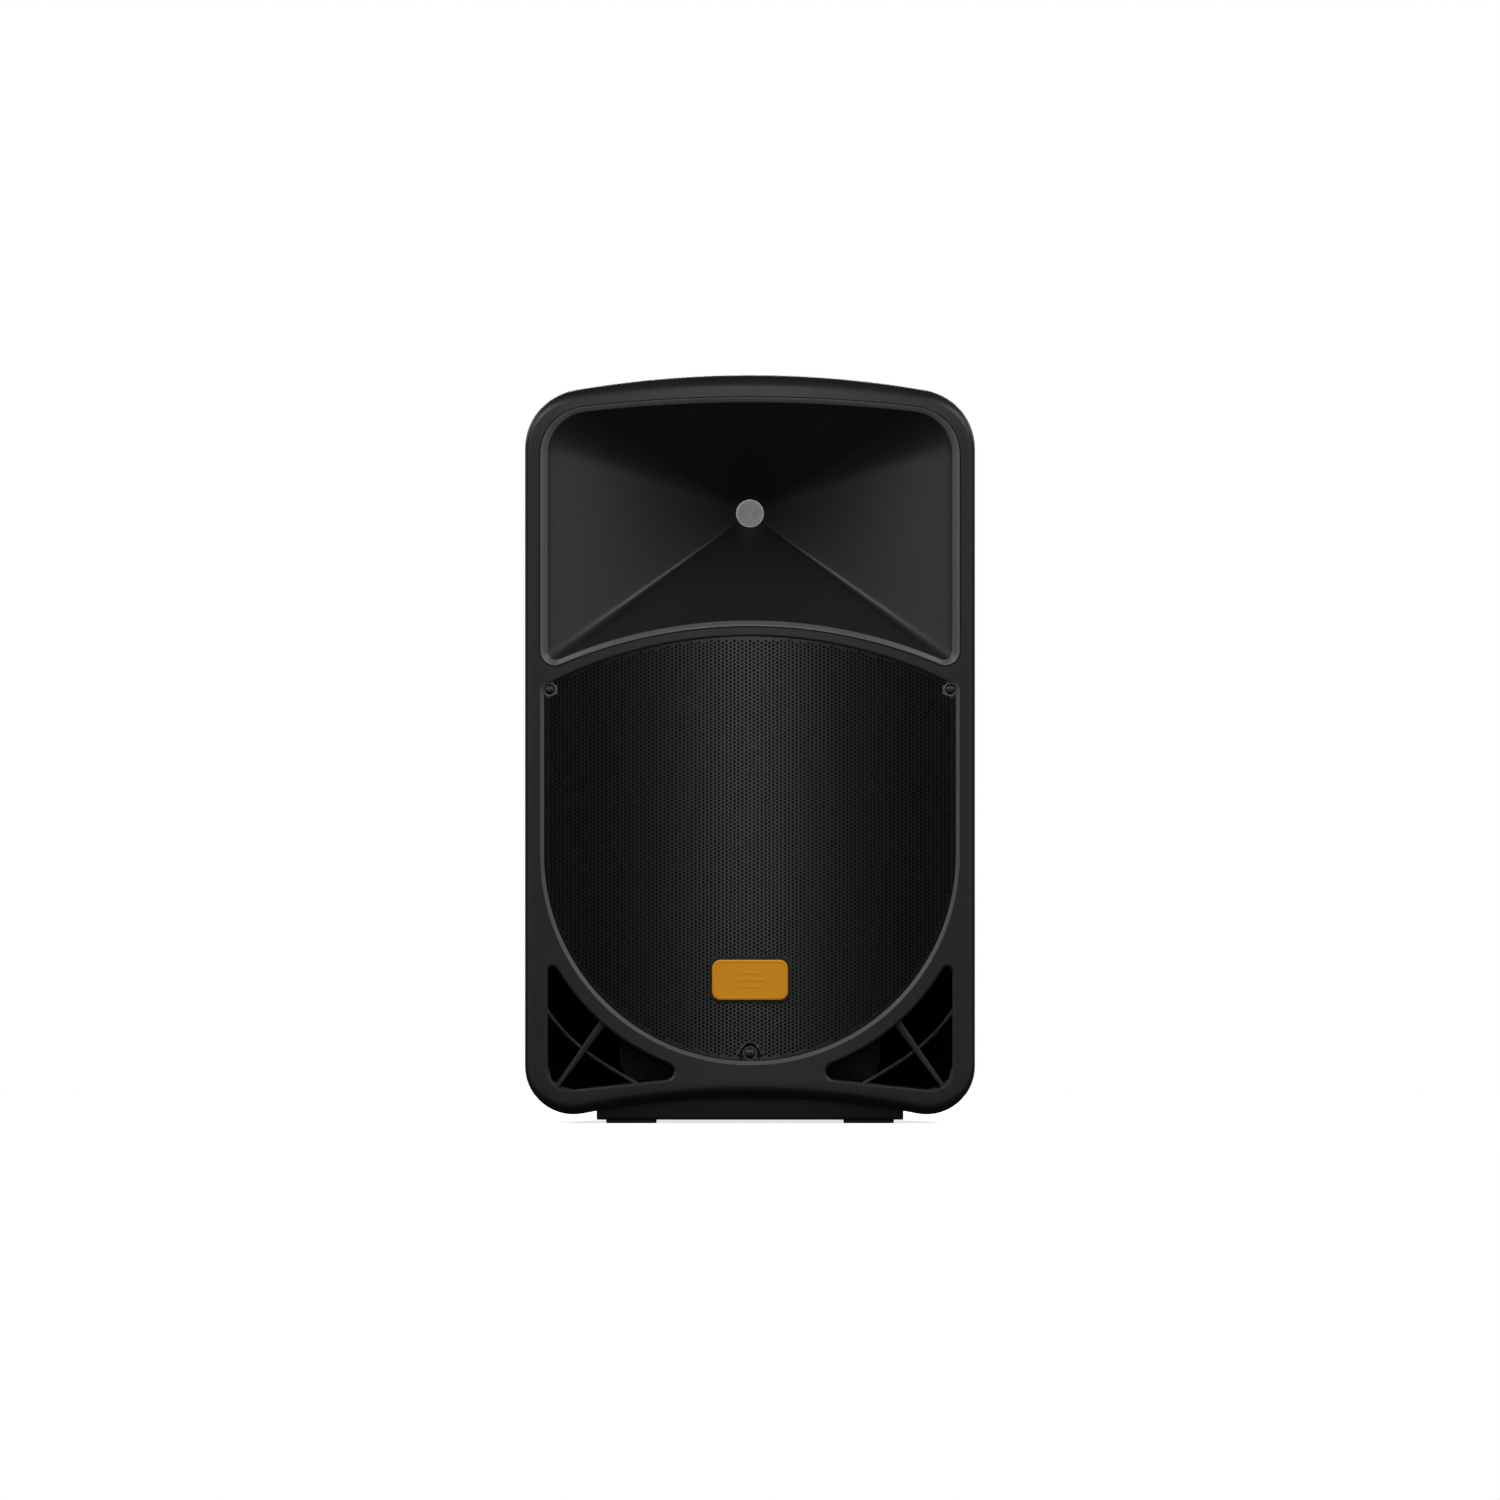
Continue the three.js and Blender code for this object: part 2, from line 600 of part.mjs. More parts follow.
const sealRing = (outer, inner) => cut(
  prismY(archedOutline(CABINET, outer), BAFFLE_END + GAP, SHELL_START - GAP),
  prismY(archedOutline(CABINET, inner), BAFFLE_END, SHELL_START));
node('shell_gasket', sealRing(2.5, 4.5), MATERIALS.rubber);

// ---- Ports, feet and pole socket ----------------------------------------------------------------

function portDuct(outside, inside) {
  return cut(prismY(outside, BAFFLE_BACK + GAP, PORT_BACK), prismY(inside, BAFFLE_BACK, PORT_BACK + 1));
}

node('port_duct_left', portDuct(portOutline(-PORT_WALL), portOutline()), MATERIALS.cabinet);
node('port_duct_right', portDuct(mirrored(portOutline(-PORT_WALL)), mirrored(portOutline())),
  MATERIALS.cabinet);

function foot(x, y, halfWidth, halfDepth) {
  return prismZ(roundedBox(halfWidth, halfDepth, 6, [x, y]), 0, FOOT_HEIGHT);
}

for (const [side, sign] of [['left', -1], ['right', 1]]) {
  node(`foot_front_${side}`, foot(sign * 113, -111.5, 24, 13.5), MATERIALS.rubber);
  node(`foot_rear_${side}`, foot(sign * 92, 112, 20, 13.5), MATERIALS.rubber);
}

function poleSocket() {
  const tube = turnedZ(POLE_RADIUS + POLE_WALL, PLINTH_BOTTOM, POLE_TOP);
  const flange = turnedZ(POLE_FLANGE, PLINTH_BOTTOM, PLINTH_BOTTOM + 3);
  return cut(join(tube, flange), turnedZ(POLE_RADIUS, 0, POLE_TOP - POLE_WALL));
}

node('pole_socket', poleSocket(), MATERIALS.plastic);

// ---- Grille, foam, badge and grille screws --------------------------------------------------------

const screwHoles = (radius) => Object.values(GRILLE_SCREWS).map((centre) =>
  disc(radius, FRONT, WELL_FLOOR, centre, SMALL_ROUND));

function grilleSheet() {
  const sheet = bowedSlab(wellOutline(0.8), GRILLE_SET, GRILLE_SET + GRILLE_THICKNESS);
  return cut(sheet, ...screwHoles(SCREW_SHANK + 0.5));
}

function grilleFoam() {
  const front = GRILLE_SET + GRILLE_THICKNESS + GAP;
  const sheet = bowedSlab(wellOutline(1.5), front, front + FOAM_THICKNESS);
  return cut(sheet, ...screwHoles(SCREW_HEAD + 3.6));
}

// A pan-head screw; its head stands in front of the grille.
function grilleScrew([x, z]) {
  const seat = faceY(Math.abs(x) - SCREW_HEAD) + GRILLE_SET - GAP;
  const profile = [
    [0, seat - 2.6], [0.6 * SCREW_HEAD, seat - 2.4], [0.95 * SCREW_HEAD, seat - 1.2], [SCREW_HEAD, seat],
    [SCREW_SHANK, seat], [SCREW_SHANK, seat + SCREW_LENGTH], [0, seat + SCREW_LENGTH + 1],
  ];
  return turned(profile, [x, z], SMALL_ROUND);
}

node('grille', grilleSheet(), MATERIALS.grille);
node('grille_foam', grilleFoam(), MATERIALS.foam);
for (const [place, centre] of Object.entries(GRILLE_SCREWS)) {
  node(`grille_screw_${place}`, grilleScrew(centre), MATERIALS.screw);
}

const badgeBack = faceY(0) + GRILLE_SET - GAP;
node('badge_bezel', prismY(roundedBox(39, 22, 10, BADGE), badgeBack - 2, badgeBack), MATERIALS.plastic);
node('badge_plate', prismY(roundedBox(36, 19, 8, BADGE), badgeBack - 3.3, badgeBack - 2 - GAP),
  MATERIALS.amber);

// ---- Woofer -------------------------------------------------------------------------------------

const WOOFER = [0, WOOFER_Z];
const FLANGE_FRONT = WELL_FLOOR - 6.4;
const SPIDER_Y = -50;
const MAGNET_Y = -13.4;

function wooferBasket() {
  const frame = turned([
    [168, FLANGE_FRONT], [192, FLANGE_FRONT], [192, WELL_FLOOR - 2.4], [175, WELL_FLOOR - 2.4], [172, -118],
    [95, SPIDER_Y + 2], [88, -40], [88, -22], [50, -22], [50, -27], [78, -27], [78, SPIDER_Y + 1],
    [90, SPIDER_Y + 1], [165, -120], [168, FLANGE_FRONT],
  ], WOOFER);
  const windows = Array.from({ length: 6 }, (_, i) => {
    const middle = Math.PI / 3 * i;
    const spread = 0.38;
    const sector = [...arc(0, WOOFER_Z, 158, middle - spread, middle + spread, 2),
      ...arc(0, WOOFER_Z, 104, middle + spread * 0.8, middle - spread * 0.8, 2)];
    return prismY(sector, -122, -30);
  });
  return cut(frame, ...windows);
}

// A half roll between the basket's flange and the cone's rim, in one thickness.
function wooferSurround() {
  const foot = FLANGE_FRONT - GAP;
  const bulge = (radius, height) =>
    arc(158, 0, radius, 0, Math.PI, 4).map((p) => [p.x, foot - height * p.y / radius]);
  return turned([
    [167, foot], ...bulge(9, 8).slice(1, -1), [149, foot], [141, foot], [141, foot - 1.2],
    ...bulge(10.4, 9.4).reverse(), [176, foot - 1.2], [176, foot], [167, foot],
  ], WOOFER);
}

function wooferCone() {
  const rim = FLANGE_FRONT;
  return turned([
    [33.2, -84], [90, -103], [139, rim], [148, rim], [148, rim + 1.6], [139.5, rim + 1.6], [91, -101.2],
    [33.2, -81.5], [33.2, -84],
  ], WOOFER);
}

function dustCap() {
  return turned([
    [52, -91.2], [40, -98.5], [20, -103], [0, -104.5],
    [0, -103.3], [20, -101.8], [39.6, -97.4], [50.4, -91.2], [52, -91.2],
  ].reverse(), WOOFER);
}

// A corrugated ring; each wave is one pair of slopes.
function wooferSpider() {
  const stations = Array.from({ length: 5 }, (_, i) => [33.2 + 10.8 * i, i % 2 ? 2.4 : 0]);
  const front = stations.map(([radius, wave]) => [radius, SPIDER_Y - 1 - wave]);
  const back = stations.map(([radius, wave]) => [radius, SPIDER_Y - wave]).reverse();
  const rim = [[88, SPIDER_Y - 1], [88, SPIDER_Y + 0.7], [76.4, SPIDER_Y + 0.7]];
  return turned([...front, ...rim, ...back, front[0]], WOOFER);
}

node('woofer_basket', wooferBasket(), MATERIALS.basket);
node('woofer_gasket', ring(WOOFER_HOLE + 0.5, 192, WELL_FLOOR - 2.1, WELL_FLOOR - GAP, WOOFER),
  MATERIALS.rubber);
node('woofer_surround', wooferSurround(), MATERIALS.rubber);
node('woofer_cone', wooferCone(), MATERIALS.paper);
node('woofer_dust_cap', dustCap(), MATERIALS.paper);
node('woofer_spider', wooferSpider(), MATERIALS.cloth);
node('woofer_voice_coil', ring(31.5, 32.8, -88, -16, WOOFER), MATERIALS.copper);
node('woofer_top_plate', ring(34.2, 75, -21.7, MAGNET_Y - GAP, WOOFER), MATERIALS.steel);
node('woofer_magnet', ring(45, 90, MAGNET_Y, 6.6, WOOFER), MATERIALS.ferrite);
node('woofer_pole_yoke', turned([
  [8, -21.7], [30.3, -21.7], [30.3, 6.9], [86, 6.9], [86, 13], [60, 17], [8, 17], [8, -21.7],
], WOOFER), MATERIALS.steel);

// ---- Compression driver -------------------------------------------------------------------------

const DRIVER = [0, THROAT_Z];
node('driver_pole_plate', turned([
  [12.7, THROAT_Y + GAP], [50, THROAT_Y + GAP], [50, -13], [21, -13], [21, 12], [16, 12],
  [12.7, THROAT_Y + GAP],
], DRIVER), MATERIALS.steel);
node('driver_magnet', ring(28, 50, -12.7, 2, DRIVER), MATERIALS.ferrite);
node('driver_top_plate', ring(23, 48, 2.3, 9, DRIVER), MATERIALS.steel);
node('driver_diaphragm', turned([
  [21.7, 4], [22.3, 4], [22.3, 13.4], [34, 13.4], [34, 14], [22, 14], [15, 19], [0, 22],
  [0, 21.2], [14.6, 18.2], [21.7, 13.2], [21.7, 4],
], DRIVER), MATERIALS.copper);
node('driver_back_cover', turned([
  [38, 9.3], [46, 9.3], [46, 36], [40, 45], [0, 45],
  [0, 42], [38, 42], [43, 35], [43, 12.5], [38, 12.5], [38, 9.3],
], DRIVER), MATERIALS.basket);

// ---- Amplifier module ---------------------------------------------------------------------------

const LATCH_HALF = 3.5;
const LATCH_LOW = 11.4;
const LATCH_HIGH = 14.4;
const SOCKET_BODY = 11.7;
const INLET_BODY = { halfWidth: 13.5, halfHeight: 21.5 };
const SWITCH_BODY = { halfWidth: 10.5, halfHeight: 15 };
const BOARD_HALF = 74;
const BOARD_THICKNESS = 1.6;
const FIN_COUNT = 16;
const FIN_THICKNESS = 2;
const FIN_DEPTH = 12;
const COVER_WALL = 1.5;

// A block about an (x, z) place on the panel, from `low` to `high` above it and from y0 to y1.
const around = ([x, z], low, high, halfWidth, y0, y1) =>
  box([x - halfWidth, y0, z + low], [x + halfWidth, y1, z + high]);

function ampPanel() {
  const plate = prismY(
    roundedBox(PANEL.half, PANEL_HALF_HEIGHT, PANEL_CORNER, PANEL_MIDDLE), PANEL.front, PANEL_FACE);
  const through = [PANEL.front - 1, PANEL_FACE + 1];
  const round = (centre, radius) => disc(radius, ...through, centre, SMALL_ROUND);
  const square = (centre, halfHeight, halfWidth) => around(
    centre, -halfHeight - PANEL_CLEARANCE, halfHeight + PANEL_CLEARANCE, halfWidth + PANEL_CLEARANCE,
    ...through);
  return cut(
    plate,
    ...Object.values(KNOBS).map((centre) => round(centre, SHAFT_RADIUS + PANEL_CLEARANCE)),
    ...COMBO_SOCKETS.map((centre) => join(
      round(centre, SOCKET_BODY + PANEL_CLEARANCE),
      around(centre, 8, LATCH_HIGH + PANEL_CLEARANCE, LATCH_HALF + PANEL_CLEARANCE, ...through))),
    round(LINK_SOCKET, SOCKET_BODY + PANEL_CLEARANCE),
    ...MIC_LINE_BUTTONS.map((centre) => square(centre, BUTTON_HALF, BUTTON_HALF)),
    square(INLET, INLET_BODY.halfHeight, INLET_BODY.halfWidth),
    square(SWITCH, SWITCH_BODY.halfHeight, SWITCH_BODY.halfWidth),
  );
}

function ampCover() {
  const [half, back, low, high] = [84, 88, 208, 532];
  const edge = PANEL.front - GAP;
  const shell = box([-half, back, low], [half, edge, high]);
  const inside = half - COVER_WALL;
  const hollow = box([-inside, back + COVER_WALL, low + COVER_WALL], [inside, edge + 1, high - COVER_WALL]);
  return cut(shell, hollow);
}

// A base plate with upright fins.
function heatSink() {
  const [half, low, high] = [78, 445, 532];
  const base = box([-half, SEAT_Y, low], [half, SEAT_Y + 3, high]);
  const first = 1 - half;
  const pitch = (2 * half - 2 - FIN_THICKNESS) / (FIN_COUNT - 1);
  const fins = Array.from({ length: FIN_COUNT }, (_, i) => {
    const x = first + i * pitch;
    return box([x, SEAT_Y + 2, low], [x + FIN_THICKNESS, SEAT_Y + FIN_DEPTH, high]);
  });
  return join(base, ...fins);
}

// A knob with a wider skirt, a raised pointer and its shaft through the panel.
function knob(centre) {
  const base = SEAT_Y + 1.2;
  const top = base + KNOB_HEIGHT;
  const grip = KNOB_RADIUS - 1.2;
  return join(
    turned([[0, base], [KNOB_RADIUS, base], [KNOB_RADIUS, base + KNOB_SKIRT], [grip, top], [0, top]],
      centre, SMALL_ROUND),
    disc(SHAFT_RADIUS, 140, base + 1, centre, 8),
    around(centre, 2, grip - 0.4, 0.7, top - 1, top + 0.6),
  );
}

function socketFlange(centre) {
  return prismY(roundedBox(13, 15.5, 3, centre), SEAT_Y, SEAT_Y + FLANGE_THICKNESS);
}

function comboSocket(centre) {
  const slot = around(centre, LATCH_LOW - 0.5, LATCH_HIGH + 0.5, LATCH_HALF + 0.5, 140, SEAT_Y + 4);
  return cut(
    join(socketFlange(centre), disc(SOCKET_BODY, 128, SEAT_Y + 1, centre, SMALL_ROUND)),
    disc(9.5, 132, SEAT_Y + 3, centre, SMALL_ROUND),
    slot,
  );
}

function latchTab(centre) {
  return around(centre, LATCH_LOW, LATCH_HIGH, LATCH_HALF, 144, SEAT_Y + 4);
}

function linkSocket(centre) {
  const body = cut(
    join(socketFlange(centre), disc(SOCKET_BODY, 132, SEAT_Y + 1, centre, SMALL_ROUND)),
    disc(9, 138, SEAT_Y + 3, centre, SMALL_ROUND),
  );
  const pins = [90, 210, 330].map((degrees) => {
    const angle = THREE.MathUtils.degToRad(degrees);
    const place = [centre[0] + 4.5 * Math.cos(angle), centre[1] + 4.5 * Math.sin(angle)];
    return disc(1.2, 137, SEAT_Y - 1, place, 8);
  });
  return join(body, ...pins);
}

const INLET_CENTRE = [INLET[0], INLET[1] + 7];
const FUSE_CENTRE = [INLET[0], INLET[1] - 14];

function powerInlet() {
  const shell = join(
    prismY(roundedBox(17, 25, 3, INLET), SEAT_Y, SEAT_Y + FLANGE_THICKNESS),
    around(INLET, -INLET_BODY.halfHeight, INLET_BODY.halfHeight, INLET_BODY.halfWidth, 128, SEAT_Y + 1),
  );
  const mouth = prismY(roundedBox(12, 8, 3, INLET_CENTRE), 137, SEAT_Y + 3);
  const blades = [[-7, -2], [0, 2], [7, -2]].map(([x, z]) =>
    around([INLET_CENTRE[0] + x, INLET_CENTRE[1] + z], -2, 2, 1, 136, SEAT_Y - 4));
  const drawerWell = around(FUSE_CENTRE, -4.5, 4.5, 10.5, 133, SEAT_Y + 3);
  return join(cut(shell, mouth, drawerWell), ...blades);
}

function fuseDrawer() {
  return join(
    around(FUSE_CENTRE, -4, 4, 10, 134, SEAT_Y + 3),
    around(FUSE_CENTRE, -1, 1, 5, SEAT_Y + 2, SEAT_Y + 4.2),
  );
}

function switchHousing() {
  const shell = join(
    prismY(roundedBox(13, 17.5, 2, SWITCH), SEAT_Y, SEAT_Y + FLANGE_THICKNESS),
    around(SWITCH, -SWITCH_BODY.halfHeight, SWITCH_BODY.halfHeight, SWITCH_BODY.halfWidth, 134, SEAT_Y + 1),
  );
  return cut(shell, around(SWITCH, -13.4, 13.4, 9, 138, SEAT_Y + 3));
}

// The rocker's (y, z) section is drawn level about its pivot and then tipped to its off position.
function powerRocker() {
  const pivot = point(SWITCH_PIVOT_Y, SWITCH[1]);
  const tilt = THREE.MathUtils.degToRad(SWITCH_REST_TILT);
  const section = ROCKER.map(([y, z]) => point(y, z).add(pivot).rotateAround(pivot, tilt)).reverse();
  return prismX(section, SWITCH[0] - ROCKER_HALF_WIDTH, SWITCH[0] + ROCKER_HALF_WIDTH);
}

function pushButton(centre) {
  return prismY(roundedBox(BUTTON_HALF, BUTTON_HALF, 1, centre), 143, SEAT_Y + 4.5);
}

// A circuit board that stands behind the panel, with its tall round components on its front face.
function board(low, high, y, components) {
  const plate = box([-BOARD_HALF, y, low], [BOARD_HALF, y + BOARD_THICKNESS, high]);
  return join(plate, ...components.map(([x, z, radius, height]) =>
    disc(radius, y - height, y + 0.5, [x, z], 10)));
}

node('amp_panel', ampPanel(), MATERIALS.panel);
node('amp_cover', ampCover(), MATERIALS.steel);
node('heat_sink', heatSink(), MATERIALS.aluminium);
node('power_supply_board', board(215, 300, 121, [
  [-50, 285, 9, 22], [-25, 285, 9, 22], [20, 250, 16, 18], [55, 270, 8, 16],
]), MATERIALS.board);
node('amplifier_board', board(440, 524, 138, [
  [-40, 480, 10, 20], [0, 480, 10, 20], [40, 470, 12, 16],
]), MATERIALS.board);
node('input_board', board(306, 432, 121, [
  [-55, 330, 5, 10], [-55, 350, 5, 10], [40, 330, 4, 8],
]), MATERIALS.board);
for (const [name, centre] of Object.entries(KNOBS)) node(name, knob(centre), MATERIALS.knob);
COMBO_SOCKETS.forEach((centre, i) => {
  node(`combo_socket_${i + 1}`, comboSocket(centre), MATERIALS.plastic);
  node(`latch_tab_${i + 1}`, latchTab(centre), MATERIALS.steel);
});
node('link_socket', linkSocket(LINK_SOCKET), MATERIALS.plastic);
MIC_LINE_BUTTONS.forEach((centre, i) => {
  node(`mic_line_button_${i + 1}`, pushButton(centre), MATERIALS.plastic);
});
node('power_inlet', powerInlet(), MATERIALS.plastic);
node('fuse_drawer', fuseDrawer(), MATERIALS.plastic);
node('switch_housing', switchHousing(), MATERIALS.plastic);
node('power_rocker', powerRocker(), MATERIALS.plastic);

// ---- Leads inside the cabinet ---------------------------------------------------------------------

function lead(route, radius = 2.5) {
  const path = new THREE.CatmullRomCurve3(route.map((p) => new THREE.Vector3(...p)));
  const section = new THREE.Shape(arc(0, 0, radius, 0, 2 * Math.PI * 7 / 8, 7));
  return solid(new THREE.ExtrudeGeometry(section, { extrudePath: path, steps: 10, bevelEnabled: false }));
}

node('woofer_cable', lead([
  [100, 93, 262], [118, 60, 262], [122, 20, 258], [116, -15, WOOFER_Z], [94, -34, WOOFER_Z],
]), MATERIALS.rubber);
node('driver_cable', lead([
  [30, 87.4, 500], [30, 74, 503], [20, 68, 545], [10, 58, 571], [10, 46, 571],
]), MATERIALS.rubber);

export default speaker;
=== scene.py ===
"""A two-way PA loudspeaker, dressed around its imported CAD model.

Shapes are drawn in millimetres, as the CAD draws them: x runs to the right, y to the back and z up,
and the origin is on the floor under the middle of the cabinet.
"""

import math
from math import pi

import bmesh
import bpy
import numpy as np
from mathutils import Matrix, Vector
from mathutils.geometry import delaunay_2d_cdt

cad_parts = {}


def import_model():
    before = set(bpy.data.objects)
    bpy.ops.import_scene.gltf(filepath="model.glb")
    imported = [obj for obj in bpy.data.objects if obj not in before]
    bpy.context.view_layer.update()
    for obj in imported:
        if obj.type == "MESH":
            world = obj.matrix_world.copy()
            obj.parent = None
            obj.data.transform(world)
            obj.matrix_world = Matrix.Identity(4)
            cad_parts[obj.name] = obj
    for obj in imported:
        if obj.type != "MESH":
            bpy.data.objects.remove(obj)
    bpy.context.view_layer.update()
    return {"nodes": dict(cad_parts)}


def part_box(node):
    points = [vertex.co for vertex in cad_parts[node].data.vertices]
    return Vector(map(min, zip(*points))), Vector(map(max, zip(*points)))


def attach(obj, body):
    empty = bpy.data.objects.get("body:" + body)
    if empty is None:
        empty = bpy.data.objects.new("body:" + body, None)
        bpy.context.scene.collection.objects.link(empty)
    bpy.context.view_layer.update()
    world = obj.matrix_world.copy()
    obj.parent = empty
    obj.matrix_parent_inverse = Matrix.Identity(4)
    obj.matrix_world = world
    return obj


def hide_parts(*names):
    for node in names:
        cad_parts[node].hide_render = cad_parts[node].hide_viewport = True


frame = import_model()

MM = 0.001
SHARP = math.radians(28)  # edges sharper than this stay crisp
FACES_FORWARD = 0.3  # how squarely a face has to face the front to count as forward

# ---- Driving dimensions, the same as the CAD's ----

HALF = 214.0
HEIGHT = 712.0
FRONT = -170.0
BACK = 170.0
GAP = 0.3
WALL = 5.0

CABINET = dict(half=HALF, top=HEIGHT, crown=1000, top_corner=57, bottom_corner=46, sill=25.5, arch=795)
LIP_OUTSIDE = dict(half=199.5, top=690.5, crown=1400, top_corner=46, bottom_corner=14, sill=473, arch=464.7)
LIP_INSIDE = dict(half=192.4, top=685.5, crown=1395, top_corner=40, bottom_corner=8, sill=478.3, arch=470)

BOW = 21.0
LIP_PROUD = 1.0
SIDE_ROUNDING = 5.2
TOP_ROUNDING = 13.0
BOTTOM_ROUNDING = 10.5
SIDE_EDGE_DEPTH = 7.0
END_EDGE_DEPTH = 19.0
TOP_BAND_DROP = 1.3
BAFFLE_BACK = -114.0
BAFFLE_END = -95.0
WELL_FLOOR = -124.0
SHELL_START = -93.0
TAPER_START = -40.0
TAPER = 0.41
SHOULDER = 165.0
SEAM_STEP = 2.0

WOOFER_Z = 255.5
WELL_RADIUS = 195.7
WELL_TOP = 464.0
WELL_CROWN = 432.0
WELL_CORNER = 8.0
WOOFER_HOLE = 178.0
GRILLE_SET = 4.0
GRILLE_THICKNESS = 1.2

THROAT_Z = 581.7
THROAT_Y = -20.0
THROAT_RADIUS = 13.2
HORN_WALL = 3.0
FLANGE_DEPTH = 4.0
LEDGE = 2.5

PORT_SIDE = 192.4
PORT_ARC = 212.8
PORT_SILL = (-175.8, 31.4)
PORT_SLOPE = math.atan(0.1074)
PORT_CORNER = 21.0
PORT_TOP_TIP = 5.0
PORT_INNER_TIP = 8.0

FOOT_HEIGHT = 3.0
PLINTH_TOP = 45.0
PLINTH_FRONT = -128.0
PLINTH_BACK = 135.0
PLINTH_HALF = 146.0
PLINTH_BACK_HALF = 118.0
POLE_Y = 10.0

HANDLE_Y = 35.0
HANDLE_Z = 400.0
HANDLE_SLANT = math.atan(TAPER)

PANEL_HALF = 96.7
PANEL_MIDDLE = 370.0
PANEL_HALF_HEIGHT = 174.7
PANEL_FRONT = 152.3
PANEL_FACE = 154.8


# ---- Outlines, as (x, z) points that run anticlockwise seen from the front ----

def lerp(a, b, share):
    return a + (b - a) * share


def between(start, end, share):
    """The point part way from one point to another."""
    return (lerp(start[0], end[0], share), lerp(start[1], end[1], share))


def polar(centre, radius, angle):
    """The point at a distance and an angle from a centre."""
    return (centre[0] + radius * math.cos(angle), centre[1] + radius * math.sin(angle))


def arc(centre, radius, start, end, steps):
    return [polar(centre, radius, lerp(start, end, i / steps)) for i in range(steps + 1)]


def line(start, end, steps):
    return [between(start, end, i / steps) for i in range(steps + 1)]


def chain(*parts):
    """One closed outline from arcs and lines, with each shared end point kept once."""
    points = [p for part in parts for p in part]
    return [p for i, p in enumerate(points) if math.dist(p, points[i - 1]) > 1e-6]


def mirrored(points):
    return [(-x, z) for x, z in reversed(points)]


def circle(radius, centre=(0.0, 0.0), steps=96):
    return arc(centre, radius, 0, 2 * pi, steps)[:-1]


def arched(form, inset=0.0):
    """The cabinet's or the horn's outline: a crown, two kinds of corner and an arch."""
    half = form["half"] - inset
    crown = form["crown"] - inset
    arch = form["arch"] + inset
    top_corner = form["top_corner"] - inset
    bottom_corner = form["bottom_corner"] - inset
    crown_z = form["top"] - form["crown"]
    arch_z = form["sill"] - form["arch"]
    top_x = half - top_corner
    top_z = crown_z + math.sqrt((crown - top_corner) ** 2 - top_x ** 2)
    bottom_x = half - bottom_corner
    bottom_z = arch_z + math.sqrt((arch + bottom_corner) ** 2 - bottom_x ** 2)
    top = math.atan2(top_z - crown_z, top_x)
    bottom = math.atan2(bottom_z - arch_z, bottom_x)
    return chain(
        arc((0, crown_z), crown, top, pi - top, 48),
        arc((-top_x, top_z), top_corner, pi - top, pi, 14),
        line((-half, top_z), (-half, bottom_z), 30),
        arc((-bottom_x, bottom_z), bottom_corner, pi, 2 * pi - bottom, 14),
        arc((0, arch_z), arch, pi - bottom, bottom, 48),
        arc((bottom_x, bottom_z), bottom_corner, pi + bottom, 2 * pi, 14),
        line((half, bottom_z), (half, top_z), 30),
        arc((top_x, top_z), top_corner, 0, top, 14),
    )


def well(inset=0.0):
    """The grille's opening."""
    half = WELL_RADIUS - inset
    crown = WELL_CROWN - inset
    corner = max(WELL_CORNER - inset, 1.0)
    crown_z = WELL_TOP - WELL_CROWN
    corner_x = half - corner
    corner_z = crown_z + math.sqrt((crown - corner) ** 2 - corner_x ** 2)
    angle = math.atan2(corner_z - crown_z, corner_x)
    return chain(
        arc((0, crown_z), crown, angle, pi - angle, 56),
        arc((-corner_x, corner_z), corner, pi - angle, pi, 8),
        line((-half, corner_z), (-half, WOOFER_Z), 14),
        arc((0, WOOFER_Z), half, pi, 2 * pi, 96),
        line((half, WOOFER_Z), (half, corner_z), 14),
        arc((corner_x, corner_z), corner, 0, angle, 8),
    )


def port(inset=0.0):
    """The left port: an upright side, a sill that rises inwards, and an arc round the woofer."""
    radius = PORT_ARC + inset
    corner = PORT_CORNER - inset
    top_tip = max(PORT_TOP_TIP - inset, 0.5)
    inner_tip = max(PORT_INNER_TIP - inset, 0.5)
    side = PORT_SIDE - inset
    along = Vector((math.cos(PORT_SLOPE), math.sin(PORT_SLOPE)))
    up = Vector((-along.y, along.x))
    sill = Vector(PORT_SILL) + up * inset
    woofer = Vector((0, WOOFER_Z))
    top = Vector((top_tip - side, 0))
    top.y = WOOFER_Z - math.sqrt((radius + top_tip) ** 2 - top.x ** 2)
    reach = (corner - side - sill.x - corner * up.x) / along.x
    bend = sill + along * reach + up * corner
    raised = sill + up * inner_tip - woofer
    slip = raised.dot(along)
    run = slip + math.sqrt(slip ** 2 - raised.length_squared + (radius + inner_tip) ** 2)
    inner = raised + woofer - along * run
    top_touch = math.atan2(woofer.y - top.y, woofer.x - top.x)
    inner_touch = math.atan2(woofer.y - inner.y, woofer.x - inner.x)
    tip = arc(top, top_tip, top_touch, pi, 10)
    lower = arc(bend, corner, pi, pi * 1.5 + PORT_SLOPE, 12)
    point = arc(inner, inner_tip, PORT_SLOPE - pi / 2, inner_touch, 10)
    return chain(
        tip,
        line(tip[-1], lower[0], 8),
        lower,
        line(lower[-1], point[0], 8),
        point,
        arc(woofer, radius, inner_touch + pi, top_touch + pi, 28),
    )


def rounded_box(half_width, half_height, radius, centre=(0.0, 0.0), steps=8):
    right, left = centre[0] + half_width - radius, centre[0] - half_width + radius
    top, bottom = centre[1] + half_height - radius, centre[1] - half_height + radius
    quarter = pi / 2
    corners = [(right, top), (left, top), (left, bottom), (right, bottom)]
    return chain(*(arc(c, radius, i * quarter, (i + 1) * quarter, steps) for i, c in enumerate(corners)))


